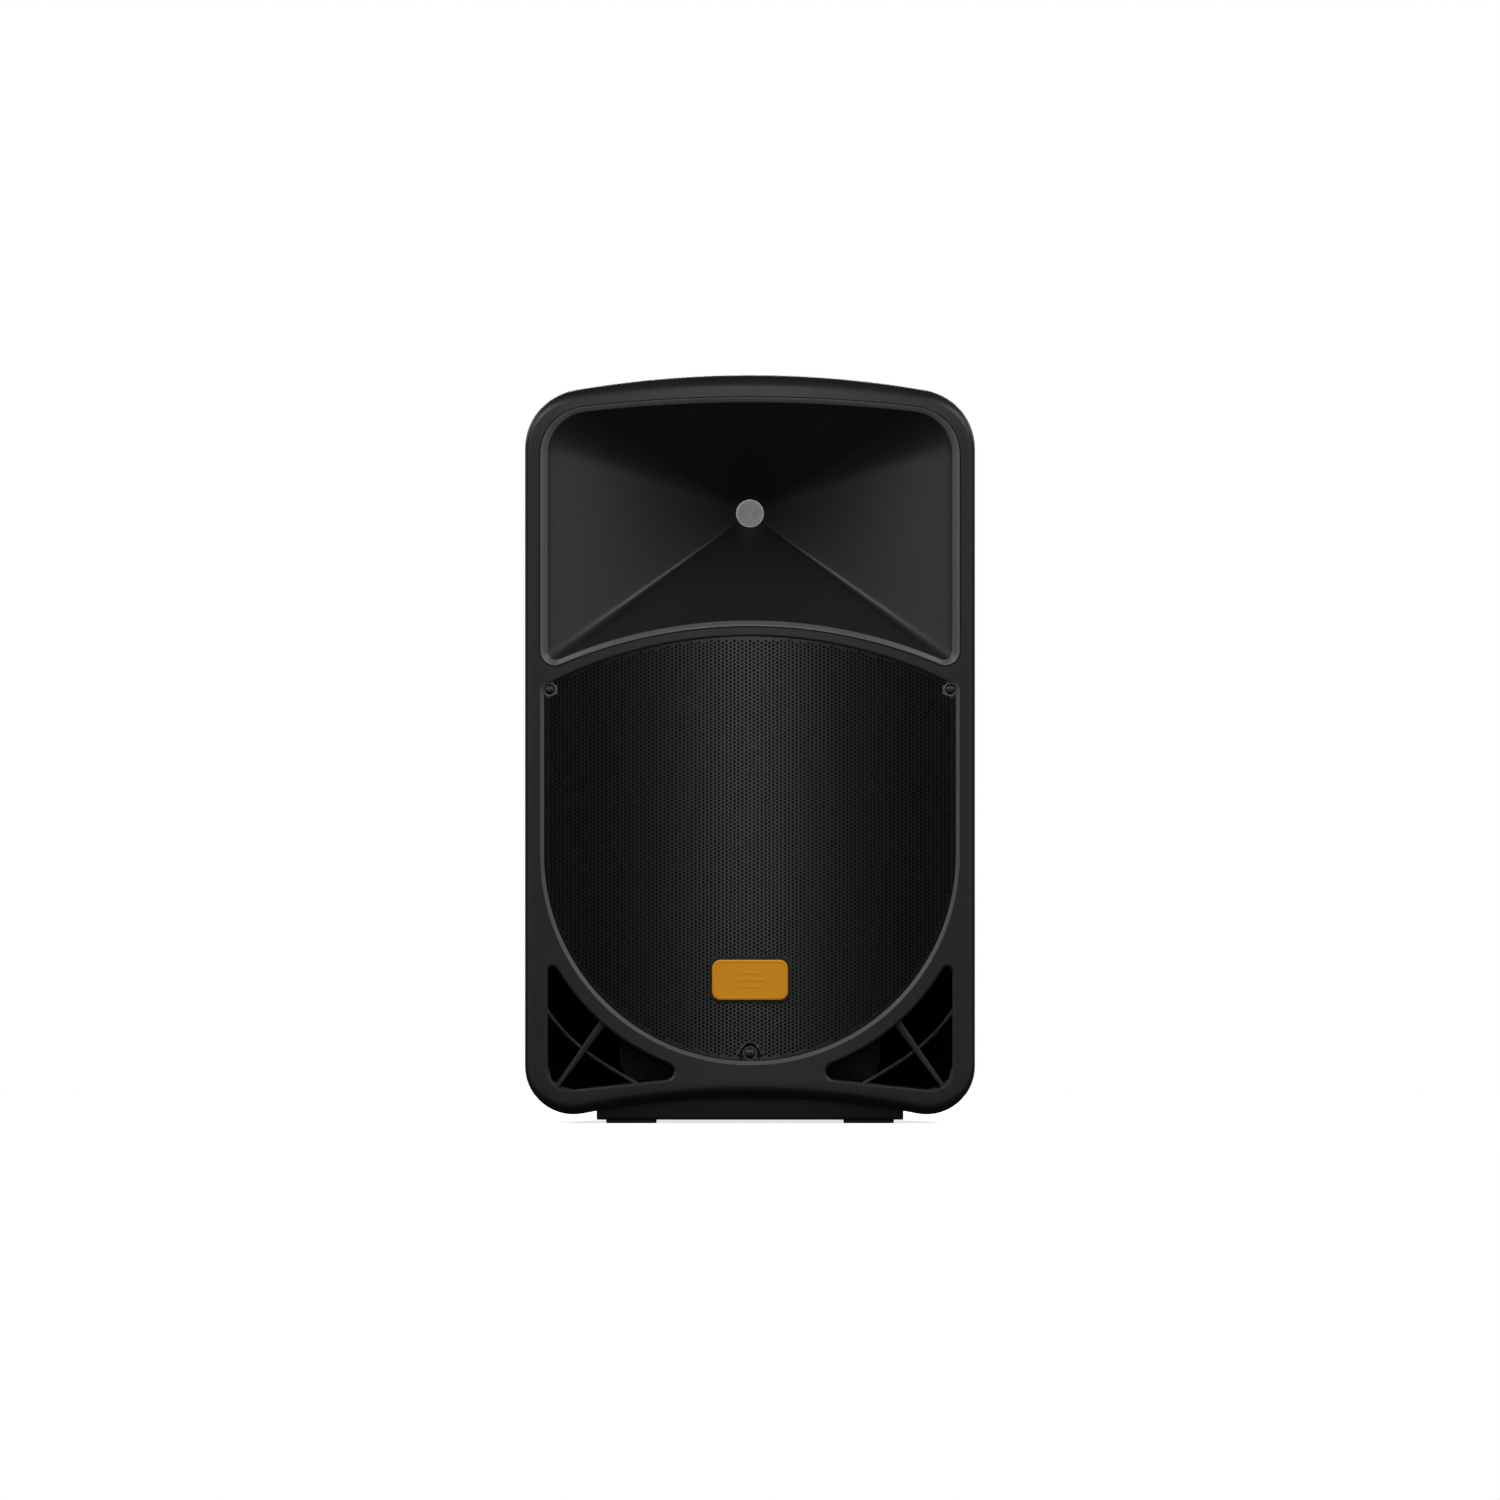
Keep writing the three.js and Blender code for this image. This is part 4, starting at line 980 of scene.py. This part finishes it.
GRILLE_PITCH = 3.7
GRILLE_HOLE = 1.36
GRILLE_MARGIN = 2.6
GRILLE_INSET = 0.8
CORNER_CUP = 5.0
BOTTOM_CUP = 8.6
CUP_RIM = 1.6
CUP_DEPTH = 2.0
CUP_HOLE = 2.7
CUP_FLOOR_THICKNESS = 0.9
SCREWS = {**dict.fromkeys(CORNER_SCREWS, CORNER_CUP), "grille_screw_bottom": BOTTOM_CUP}
GRILLE_SCREW = (4.8, 2.1, 14.0)  # the head's radius, the shank's radius and length
PANEL_SCREW = (3.2, 1.5, 7.0)
BADGE = centre_of("badge_bezel")
BADGE_HALF = (39.0, 22.0)
BADGE_CORNER = 10.0
BADGE_PLATE = (36.0, 19.0)
PLATE_CORNER = 8.0
PLATE_RIM = 2.2
BAR_PITCH = 6.5
PAN_HEAD = [(0.15, 1.0), (0.45, 0.97), (0.72, 0.82), (0.92, 0.52), (1.0, 0.2), (1.0, 0.0)]
HEAD_HEIGHT = 0.55  # of a screw's head, as a share of its radius
RECESS_ARM = 0.55
RECESS_TIP = 0.3


def grille_y(x):
    return face_y(x) + GRILLE_SET


def grille_open(centres):
    opened = inside(centres, well(GRILLE_INSET + GRILLE_MARGIN))
    opened &= ~inside(centres, rounded_box(*BADGE_HALF, BADGE_CORNER, BADGE))
    for node, radius in SCREWS.items():
        opened &= ~inside(centres, circle(radius + CUP_RIM + 1.0, centre_of(node)))
    return opened


def screw_cup(centre, radius, y):
    """The dished seat round a screw, with a raised rim, pressed into the grille."""
    floor_y = y + CUP_DEPTH
    back_y = floor_y + CUP_FLOOR_THICKNESS
    outside = radius + CUP_RIM
    profile = [
        (outside - 0.8, y - 1.2), (outside - 0.3, y - 0.9), (outside, y - 0.2), (outside, y + 0.9),
        (radius - 0.4, y + 1.0), (radius * 0.8, back_y), (CUP_HOLE, back_y), (CUP_HOLE, floor_y),
        (radius * 0.85, floor_y), (radius - 0.2, y + 0.3), (radius, y - 0.7), (radius + 0.4, y - 1.1),
    ]
    return hollow([flat(circle(around, centre, 48), at) for around, at in profile])


def grille():
    sheet = perforated(well(GRILLE_INSET), GRILLE_PITCH, GRILLE_HOLE, GRILLE_THICKNESS, grille_open)
    for vertex in sheet.data.vertices:
        vertex.co.y += grille_y(vertex.co.x / MM) * MM
    for node, radius in SCREWS.items():
        centre = centre_of(node)
        y = grille_y(centre[0])
        drill = turned([(radius + 1.0, y - 9), (radius + 1.0, y + 9)], centre)
        cut(sheet, drill)
        join(sheet, screw_cup(centre, radius, y))
    return sheet


def cross_recess(centre, y, reach, depth, inwards):
    """A tapered cross for a screwdriver, which starts at y and goes `depth` inwards."""
    arms = []
    for wide, high in ((reach, RECESS_ARM), (RECESS_ARM, reach)):
        mouth = rounded_box(wide, high, 0.3, centre, 3)
        end = rounded_box(max(wide * 0.45, RECESS_TIP), max(high * 0.45, RECESS_TIP), 0.1, centre, 3)
        sections = [flat(mouth, y - 2 * inwards), flat(mouth, y), flat(end, y + depth * inwards)]
        arms.append(solid(sections))
    return join(*arms)


def pan_screw(centre, seat, sizes, inwards=1):
    """A pan-head screw with its head's underside at `seat`. It points backwards, or forwards at -1."""
    radius, shank, length = sizes
    height = radius * HEAD_HEIGHT
    head = [(radius * out, seat - height * up * inwards) for out, up in PAN_HEAD]
    thread = [(shank, seat), (shank, seat + length * inwards), (shank * 0.4, seat + (length + 1) * inwards)]
    made = turned(head + thread, centre)
    top = seat - height * inwards
    return cut(made, cross_recess(centre, top, radius * 0.5, height * 0.85, inwards))


sheet = piece(grille(), "grille_sheet", "grille_steel", ["grille"])
# The corner screw cups' rims get a painted highlight in the paler plastic.
for node in CORNER_SCREWS:
    rim = circle(CORNER_CUP + CUP_RIM + 0.5, centre_of(node))
    paint_light(sheet, rim, circle(CORNER_CUP - 0.3, centre_of(node)))
for node in SCREWS:
    centre = centre_of(node)
    seat = grille_y(centre[0]) + CUP_DEPTH - 0.05
    screw = pan_screw(centre, seat, GRILLE_SCREW)
    piece(screw, node + "_fine", "screw_steel", [node])


def badge_outline(half, corner, inset=0.0):
    return rounded_box(half[0] - inset, half[1] - inset, corner, BADGE, 12)


def badge_frame():
    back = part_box("badge_bezel")[1].y / MM
    bezel = stack(badge_outline(BADGE_HALF, BADGE_CORNER), [
        (0, back), (0, back - 1.2), (-0.25, back - 1.7), (-0.8, back - 2.0)])
    tray = prism(badge_outline(BADGE_PLATE, 8.4, -0.4), back - 4, back - 1.4)
    return cut(bezel, tray)


def badge_plate():
    """The plate, sunk inside a narrow rim, with three raised bars in place of any mark."""
    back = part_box("badge_plate")[1].y / MM
    front = back - 1.0
    plate = stack(badge_outline(BADGE_PLATE, PLATE_CORNER), [
        (0, back), (0, front + 0.35), (-0.12, front + 0.12), (-0.4, front)])
    sunk = stack(badge_outline(BADGE_PLATE, PLATE_CORNER - PLATE_RIM, PLATE_RIM), [
        (0.3, front - 1), (0.0, front), (-0.25, front + 0.3)])
    bars = []
    for i in (-1, 0, 1):
        outline = rounded_box(14 - 4 * abs(i), 1.3, 1.2, (BADGE[0], BADGE[1] + BAR_PITCH * i))
        bars.append(stack(outline, [(0, front + 0.5), (0, front + 0.15), (-0.25, front)]))
    return join(cut(plate, sunk), *bars)


piece(badge_frame(), "badge_frame", "black_plastic", ["badge_bezel"], material="bezel_plastic")
piece(badge_plate(), "badge_face", "badge_amber", ["badge_plate"])

# ---- Rear shell and handles ----

TAPER_EASE = 15.0
BACK_ROUNDING = 10.0
RECESS_HALF = PANEL_HALF + GAP
RECESS_HALF_HEIGHT = PANEL_HALF_HEIGHT + GAP
LEDGE_WIDTH = 11.0
BACK_INSIDE = 160.0
LEDGE_Y = PANEL_FRONT - GAP
BEND = [TAPER_START + TAPER_EASE * k / 4 for k in range(-4, 5)]
FLANKS = (20, 70, 120)
TOP_DROP = 20.0  # how much lower the back of the shell's top is
SILL_RISE = 6.0
TOP_CORNER_CHANGE = 20.0
BOTTOM_CORNER_CHANGE = 12.0
POLE_HOLE = 22.0
POLE_FLANGE = (36.0, 6.6)  # radius and height


def shell_outline(y, inset=0.0):
    """The shell's outline at y: it narrows behind TAPER_START, through a soft bend."""
    start = TAPER_START - TAPER_EASE
    if y < start:
        behind = 0.0
    elif y < TAPER_START + TAPER_EASE:
        behind = (y - start) ** 2 / (4 * TAPER_EASE)
    else:
        behind = y - TAPER_START
    shared = behind / (SHOULDER - TAPER_START)
    return arched(dict(
        CABINET,
        half=HALF - SEAM_STEP / 2 - TAPER * behind,
        top=HEIGHT - TOP_DROP * shared,
        sill=CABINET["sill"] + SILL_RISE * shared,
        top_corner=CABINET["top_corner"] - TOP_CORNER_CHANGE * shared,
        bottom_corner=CABINET["bottom_corner"] - BOTTOM_CORNER_CHANGE * shared,
    ), inset)


def recess(inset, corner, y):
    """The edge of the amplifier panel's recess."""
    half, half_height = RECESS_HALF - inset, RECESS_HALF_HEIGHT - inset
    return flat(rounded_box(half, half_height, corner, (0, PANEL_MIDDLE)), y)


def shell_section(y, inset=0.0):
    return flat(shell_outline(y, inset), y)


def back_corner(turn):
    """The shell part way round its back edge: a turn of 0 is on the side and a quarter turn on the back."""
    inset = BACK_ROUNDING * (1 - math.cos(turn))
    return flat(shell_outline(BACK, inset), BACK_INSIDE + BACK_ROUNDING * math.sin(turn))


def shell_skin():
    """The shell's outside, panel recess and lining as one closed surface."""
    shell = Surface()
    outer, back_edge = shell.sweep([
        flat(shell_outline(SHELL_START, 1.0), SHELL_START),
        flat(shell_outline(SHELL_START, 0.3), SHELL_START + 0.4),
        flat(shell_outline(SHELL_START), SHELL_START + 1.2),
        *(shell_section(y) for y in BEND),
        *(shell_section(y) for y in FLANKS),
        *(back_corner(k / 8 * pi / 2) for k in range(9)),
    ])
    mouth, frame_end = shell.sweep([
        recess(-3.0, 7, BACK),
        recess(-1.6, 5.6, BACK - 0.3),
        recess(-0.5, 4.5, BACK - 1.3),
        recess(0, 4, BACK - 3),
        recess(0, 4, LEDGE_Y),
        recess(LEDGE_WIDTH, 4, LEDGE_Y),
        recess(LEDGE_WIDTH, 4, LEDGE_Y - WALL),
        recess(-4, 8, LEDGE_Y - WALL),
        recess(-4, 8, BACK_INSIDE),
    ])
    shell.fill(back_edge, [mouth])
    inside_stations = (BACK_INSIDE, *reversed(FLANKS), *reversed(BEND), SHELL_START)
    lining, rim = shell.sweep([shell_section(y, WALL) for y in inside_stations])
    shell.fill(lining, [frame_end])
    shell.bridge(rim, outer)
    return welded(shell.object())


def rear_shell():
    """The skin with the plinth's back, the pole socket's seat and the handles' openings."""
    made = shell_skin()
    inner = solid([shell_section(y, WALL) for y in (SHELL_START - 20, -55, -40, -25, BACK_INSIDE)])
    join(made, cut(plinth(BAFFLE_END + 2, PLINTH_BACK), inner))
    radius, height = POLE_FLANGE
    return cut(
        made,
        solid(rings_z([(POLE_HOLE, -1), (POLE_HOLE, PLINTH_TOP)])),
        solid(rings_z([(radius, -1), (radius, height)])),
        *(handle_cup_hole(side) for side in (1, -1)),
    )


def rings_z(profile):
    """Rings about the upright line through the pole socket, from (radius, z) pairs."""
    return [level(circle(radius, (0.0, POLE_Y), 72), z) for radius, z in profile]


HANDLE_X = HALF - SEAM_STEP - TAPER * (HANDLE_Y - TAPER_START)
CUP_HALF = (44.0, 69.0)
CUP_CORNER = 14.0
CUP_FLOOR = -42.0
CUP_INSIDE = [  # inset from the cup's outline, and height above its floor
    (14, 2.5), (8, 2.55), (5.2, 3.4), (3.4, 6), (2.8, 10), (2.2, 40), (1.0, 43), (-0.6, 44.1), (-1.6, 44.3),
]
HANDLE_FLANGE = [(1.2, 2.3), (0.35, 2.0), (0.0, 1.3), (0.0, GAP)]  # inset, and height above the wall
CUP_OUTSIDE = [(0.0, GAP), (0.0, -36), (1.6, -40), (5.0, CUP_FLOOR)]
FLANGE_HALF = (50.0, 75.0)
FLANGE_CORNER = 16.0
BAR_SECTION = rounded_box(11, 8.6, 6.5, (18, -7.4))
BAR_STATIONS = (-68, -40, 0, 40, 68)


def on_side(points, out, side):
    """Points in the side wall's own frame, x back along the wall and y up, `out` of the wall."""
    back = Vector((-math.sin(HANDLE_SLANT), math.cos(HANDLE_SLANT), 0))
    away = Vector((math.cos(HANDLE_SLANT), math.sin(HANDLE_SLANT), 0))
    origin = Vector((HANDLE_X, HANDLE_Y, HANDLE_Z))
    placed = [origin + back * u + Vector((0, 0, v)) + away * out for u, v in points]
    return [(side * p.x, p.y, p.z) for p in placed]


def cup_outline(inset=0.0):
    return rounded_box(CUP_HALF[0] - inset, CUP_HALF[1] - inset, max(CUP_CORNER - inset, 4.0))


def handle_cup_hole(side):
    return solid([on_side(cup_outline(-1), out, side) for out in (-WALL - 5, 4)])


def flange_outline(inset):
    return rounded_box(FLANGE_HALF[0] - inset, FLANGE_HALF[1] - inset, FLANGE_CORNER - inset)


def side_handle(side):
    """A cup let into the side, with a flange round it and a grip bar across it."""
    cup = welded(solid([
        *(on_side(cup_outline(inset), CUP_FLOOR + up, side) for inset, up in CUP_INSIDE),
        *(on_side(flange_outline(inset), out, side) for inset, out in HANDLE_FLANGE),
        *(on_side(cup_outline(inset), out, side) for inset, out in CUP_OUTSIDE),
    ]))
    bar = solid([[on_side([(u, v)], out, side)[0] for u, out in BAR_SECTION] for v in BAR_STATIONS])
    return join(cup, bar)


piece(rear_shell(), "rear_housing", "cabinet_plastic", ["rear_shell"])
for word, side in (("right", 1), ("left", -1)):
    piece(side_handle(side), "handle_" + word, "cabinet_plastic", ["side_handle_" + word])

# ---- Feet and pole socket ----


def foot(node):
    """A low rubber pad with rounded edges and a shallow grooved tread."""
    (x0, y0, z0), (x1, y1, z1) = [[c / MM for c in corner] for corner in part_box(node)]
    centre = ((x0 + x1) / 2, (y0 + y1) / 2)
    half = ((x1 - x0) / 2, (y1 - y0) / 2)
    outline = rounded_box(*half, 6, centre)
    levels = [(-0.9, z0), (-0.3, z0 + 0.25), (0.0, z0 + 0.9), (0.0, z1)]
    pad = solid([level(grown(outline, out), z) for out, z in levels])
    grooves = []
    for k in range(-2, 3):
        at = (centre[0], centre[1] + 4.4 * k)
        groove = rounded_box(half[0] - 5, 0.7, 0.6, at, 3)
        grooves.append(solid([level(groove, z0 - 1), level(groove, z0 + 0.6)]))
    return cut(pad, *grooves)


for node in ("foot_front_left", "foot_front_right", "foot_rear_left", "foot_rear_right"):
    piece(foot(node), node + "_pad", "rubber", [node])


SOCKET_PROFILE = [  # radius and z
    (18, 3.9), (18.6, 3.4), (33.8, 3.3), (35, 4.2), (35, 6.0), (34.4, 6.3), (22.5, 6.3),
    (21, 7.6), (21, 92), (20, 93), (1, 93), (1, 90), (17.4, 90), (18, 88),
]
piece(hollow(rings_z(SOCKET_PROFILE)), "pole_mount", "black_plastic", ["pole_socket"])

# ---- Amplifier module ----

SEAT_Y = PANEL_FACE + GAP
FLUTES = 24
KNOB_HEIGHT = 11.0
POINTER_OUT = 4.2
KNOBS = ("level_knob_1", "level_knob_2", "treble_knob", "bass_knob")
KNOB_PROFILE = [  # radius, depth of the flutes, and height above the panel
    (3, 0, -14), (3, 0, 0), (7.6, 0, 0), (8, 0, 0.5), (8, 0, 2.4), (7.6, 0, 3), (7.3, 0.5, 3.6),
    (6.9, 0.5, 9.8), (6.4, 0.2, 10.7), (5.8, 0, 11), (5.2, 0, 10.8), (1, 0, 10.7),
]


def fluted(centre, radius, depth):
    """A circle with scalloped flutes."""
    points = []
    for x, z in circle(1, steps=6 * FLUTES):
        reach = radius - depth * (0.5 + 0.5 * math.cos(FLUTES * math.atan2(z, x)))
        points.append((centre[0] + x * reach, centre[1] + z * reach))
    return points


def knob(node):
    """A knurled knob with a skirt, its shaft through the panel, and a white pointer line."""
    centre = centre_of(node)
    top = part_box(node)[1].y / MM - 0.6
    base = top - KNOB_HEIGHT
    sections = [flat(fluted(centre, radius, depth), base + up) for radius, depth, up in KNOB_PROFILE]
    body = node + "_body"
    piece(solid(sections), node + "_fine", "knob_plastic", [node], body)
    outline = rounded_box(0.55, 2.4, 0.5, (centre[0], centre[1] + POINTER_OUT), 4)
    pointer = stack(outline, [(0, top - 0.6), (0, top + 0.1), (-0.15, top + 0.25)])
    piece(pointer, node + "_pointer", "knob_plastic", body=body, material="print_white")


for node in KNOBS:
    knob(node)

SOCKET_HALF = (13.0, 15.5)
SOCKET_CORNER = 3.0
RIVET_AT = (10.6, 12.8)
PIN_TURNS = (90, 210, 330)
LATCH_UP = 12.9


def seated(profile, centre, steps=48):
    """A turned solid whose profile is given from the sockets' seat."""
    return turned([(radius, SEAT_Y + out) for radius, out in profile], centre, steps)


def socket_face(centre, hole):
    """A socket's flange with rounded edges, two rivets and a bore through it."""
    outline = rounded_box(*SOCKET_HALF, SOCKET_CORNER, centre)
    face = stack(outline, [(0, SEAT_Y), (0, SEAT_Y + 1.4), (-0.3, SEAT_Y + 1.85), (-0.9, SEAT_Y + 2)])
    barrel = seated([(11.7, 0.6), (11.7, -24), (10.8, -25)], centre)
    bore = seated([(hole + 0.8, 3), (hole + 0.6, 1.9), (hole, 1.2), (hole, -19)], centre)
    made = cut(join(face, barrel), bore)
    for side in (-1, 1):
        at = (centre[0] + side * RIVET_AT[0], centre[1] - side * RIVET_AT[1])
        made = join(made, seated([(0.4, 2.7), (1.0, 2.6), (1.5, 2.2), (1.6, 1.5)], at, 24))
    return made


def contacts(centre, radius, profile, turns=PIN_TURNS):
    """Pins, or the holes for them, spread round a circle."""
    return [seated(profile, polar(centre, radius, math.radians(a)), 20) for a in turns]


def combination_socket(node):
    """A socket for a three-pin or a plain plug, with a slot for its latch tab."""
    centre = centre_of(node)
    latch = rounded_box(4.0, 2.0, 0.3, (centre[0], centre[1] + LATCH_UP))
    made = cut(
        socket_face(centre, 9.5),
        prism(latch, SEAT_Y - 15, SEAT_Y + 4),
        *contacts(centre, 6.2, [(1.4, -18), (1.4, -22)]),
        *contacts(centre, 0, [(3.2, -18), (3.2, -22)], (0,)),
    )
    piece(made, node + "_fine", "black_plastic", [node])


def link_socket(node):
    centre = centre_of(node)
    pins = contacts(centre, 4.5, [(0.5, -1), (1.2, -2), (1.2, -21)])
    piece(join(socket_face(centre, 9.0), *pins), node + "_fine", "black_plastic", [node])


combination_socket("combo_socket_1")
combination_socket("combo_socket_2")
link_socket("link_socket")

SCREW_MARGIN = 5.2
TICK_RADIUS = 10.6
TICK_HALF = (0.28, 1.1)
TICK_TURNS = range(-150, 151, 30)
PRINT_Y = (PANEL_FACE - 0.05, PANEL_FACE + 0.08)
PANEL_LINES = (440.0, 292.0)


def panel_screws():
    """One screw in each corner of the panel and one half way along each side."""
    across = PANEL_HALF - SCREW_MARGIN
    up = PANEL_HALF_HEIGHT - SCREW_MARGIN
    places = [(i * across, k * up) for i in (-1, 0, 1) for k in (-1, 0, 1) if (i, k) != (0, 0)]
    for number, (x, z) in enumerate(places, 1):
        screw = pan_screw((x, PANEL_MIDDLE + z), PANEL_FACE, PANEL_SCREW, -1)
        piece(screw, f"panel_screw_{number}", "screw_steel")


def tick(centre, degrees):
    """A printed mark beside a knob, pointing at its centre."""
    turn = math.radians(degrees)
    across = (math.cos(turn), -math.sin(turn))
    away = (math.sin(turn), math.cos(turn))
    x0, z0 = centre[0] + away[0] * TICK_RADIUS, centre[1] + away[1] * TICK_RADIUS
    outline = [
        (x0 + across[0] * u + away[0] * v, z0 + across[1] * u + away[1] * v)
        for u, v in rounded_box(*TICK_HALF, 0.2, steps=2)
    ]
    return prism(outline, *PRINT_Y)


def panel_print():
    """Ticks round the knobs and a line above and below the inputs."""
    marks = [tick(centre_of(node), degrees) for node in KNOBS for degrees in TICK_TURNS]
    half = PANEL_HALF - 2 * SCREW_MARGIN
    lines = [prism(rounded_box(half, 0.3, 0.25, (0, z), 2), *PRINT_Y) for z in PANEL_LINES]
    return join(*marks, *lines)


panel_screws()
piece(panel_print(), "panel_marks", "panel_metal", material="print_white")

# ---- CAD solids that stay, with softened edges and their own finish ----


def softened(node, slot, width, material=None):
    """Keeps a CAD solid's shape, but rounds its edges slightly."""
    made = frame["nodes"][node]
    weld_points = made.modifiers.new("weld", "WELD")
    weld_points.merge_threshold = 1e-5
    flats = made.modifiers.new("flats", "DECIMATE")
    flats.decimate_type = "DISSOLVE"
    flats.angle_limit = math.radians(1)
    if width:
        edge = made.modifiers.new("edge", "BEVEL")
        edge.width = width * MM
        edge.segments = 2
        edge.limit_method = "ANGLE"
        edge.angle_limit = math.radians(40)
    made.data.materials.clear()
    made.data.materials.append(MATERIALS[material or slot])


KEPT = {  # by slot: how wide the rounded edges are, and the CAD nodes
    "panel_metal": (0.5, "amp_panel"),
    "heat_sink_aluminium": (0.3, "heat_sink"),
    "black_plastic": (
        0.4, "power_inlet", "fuse_drawer", "switch_housing", "power_rocker", "mic_line_button_1",
        "mic_line_button_2"),
    "steel": (
        0.3, "latch_tab_1", "latch_tab_2", "amp_cover", "woofer_top_plate", "woofer_pole_yoke",
        "driver_pole_plate", "driver_top_plate"),
    "foam": (0, "grille_foam"),
    "rubber": (0, "shell_gasket", "woofer_gasket", "woofer_surround", "woofer_cable", "driver_cable"),
    "basket_steel": (0, "woofer_basket", "driver_back_cover"),
    "cone_paper": (0, "woofer_cone", "woofer_dust_cap"),
    "spider_cloth": (0, "woofer_spider"),
    "copper": (0, "woofer_voice_coil"),
    "ferrite": (0.5, "woofer_magnet", "driver_magnet"),
    "titanium": (0, "driver_diaphragm"),
    "board": (0, "power_supply_board", "amplifier_board", "input_board"),
}
for slot, (width, *nodes) in KEPT.items():
    for node in nodes:
        softened(node, slot, width)
# The port ducts get the paler plastic: painted light inside the ports.
for node in ("port_duct_left", "port_duct_right"):
    softened(node, "cabinet_plastic", 0, "painted_light_plastic")

# ---- Camera, lights and floor ----

AIM_Z = 0.3553
CAMERA_DISTANCE = 20.0
FRAME_WIDTH = 1.425  # metres across at the cabinet's front
SENSOR = 36.0
FLOOR_GLOW = 0.75
FLOOR_HALF = 1500.0
FLOOR_CORNER = 400.0
AMBIENT = 0.02
LIGHT_AIM = (0, 0, 0.35)
SOFTBOXES = [  # name, place, width and height, and brightness; those off the middle come in pairs
    ("strip", (0, -6.45, 1.25), (0.6, 2.6), 5.0),
    ("key", (0, -3.5, 1.9), (2.1, 0.7), 4.6),
    ("side", (3.05, -2.55, 0.7), (1.5, 1.8), 1.4),
    ("high", (2.9, -1.5, 2.65), (2.2, 0.9), 8.5),
    ("rear", (0, 3.6, 1.8), (2.4, 0.9), 9.0),
    ("rear side", (3.0, 2.6, 1.8), (1.4, 1.4), 2.6),
]


def camera():
    data = bpy.data.cameras.new("camera")
    data.sensor_width = SENSOR
    data.lens = SENSOR * CAMERA_DISTANCE / FRAME_WIDTH
    made = added("camera", data)
    made.location = (0, (FRONT + LIP_PROUD) * MM - CAMERA_DISTANCE, AIM_Z)
    made.rotation_euler = (pi / 2, 0, 0)
    bpy.context.scene.camera = made


def softbox(name, place, size, radiance):
    """A rectangular light that looks at the cabinet; its power follows from its brightness and area."""
    data = bpy.data.lights.new(name, "AREA")
    data.shape = "RECTANGLE"
    data.size, data.size_y = size
    data.energy = radiance * pi * size[0] * size[1]
    made = added(name, data)
    made.location = place
    towards = Vector(LIGHT_AIM) - Vector(place)
    made.rotation_euler = towards.to_track_quat("-Z", "Y").to_euler()


def world():
    """White where the camera looks past the object, and a dim grey surround for everything else."""
    made = bpy.data.worlds.new("studio")
    bpy.context.scene.world = made
    made.use_nodes = True
    tree = made.node_tree
    background = tree.nodes["Background"]
    seen = tree.nodes.new("ShaderNodeBackground")
    seen.inputs["Color"].default_value = (1, 1, 1, 1)
    background.inputs["Color"].default_value = (*shade(AMBIENT), 1)
    path = tree.nodes.new("ShaderNodeLightPath")
    mix = tree.nodes.new("ShaderNodeMixShader")
    tree.links.new(path.outputs["Is Camera Ray"], mix.inputs["Fac"])
    tree.links.new(background.outputs["Background"], mix.inputs[1])
    tree.links.new(seen.outputs["Background"], mix.inputs[2])
    tree.links.new(mix.outputs["Shader"], tree.nodes["World Output"].inputs["Surface"])


def floor():
    surface = Surface()
    surface.cap(surface.ring(level(rounded_box(FLOOR_HALF, FLOOR_HALF, FLOOR_CORNER), 0.0)))
    made = surface.object()
    finish = Finish("floor", Roughness=0.9)
    finish.colour(finish.blend(finish.noise(300, 3), shade(0.86), shade(0.9)))
    finish.shader.inputs["Emission Color"].default_value = (1, 1, 1, 1)
    finish.shader.inputs["Emission Strength"].default_value = FLOOR_GLOW
    made.data.materials.append(finish.material)
    made.name = "floor"
    made.visible_diffuse = False
    made.visible_glossy = False


camera()
world()
floor()
for name, (x, y, z), size, radiance in SOFTBOXES:
    for side in (-1, 1) if x else (1,):
        softbox(name, (side * x, y, z), size, radiance)

bpy.context.scene.view_settings.view_transform = "Standard"
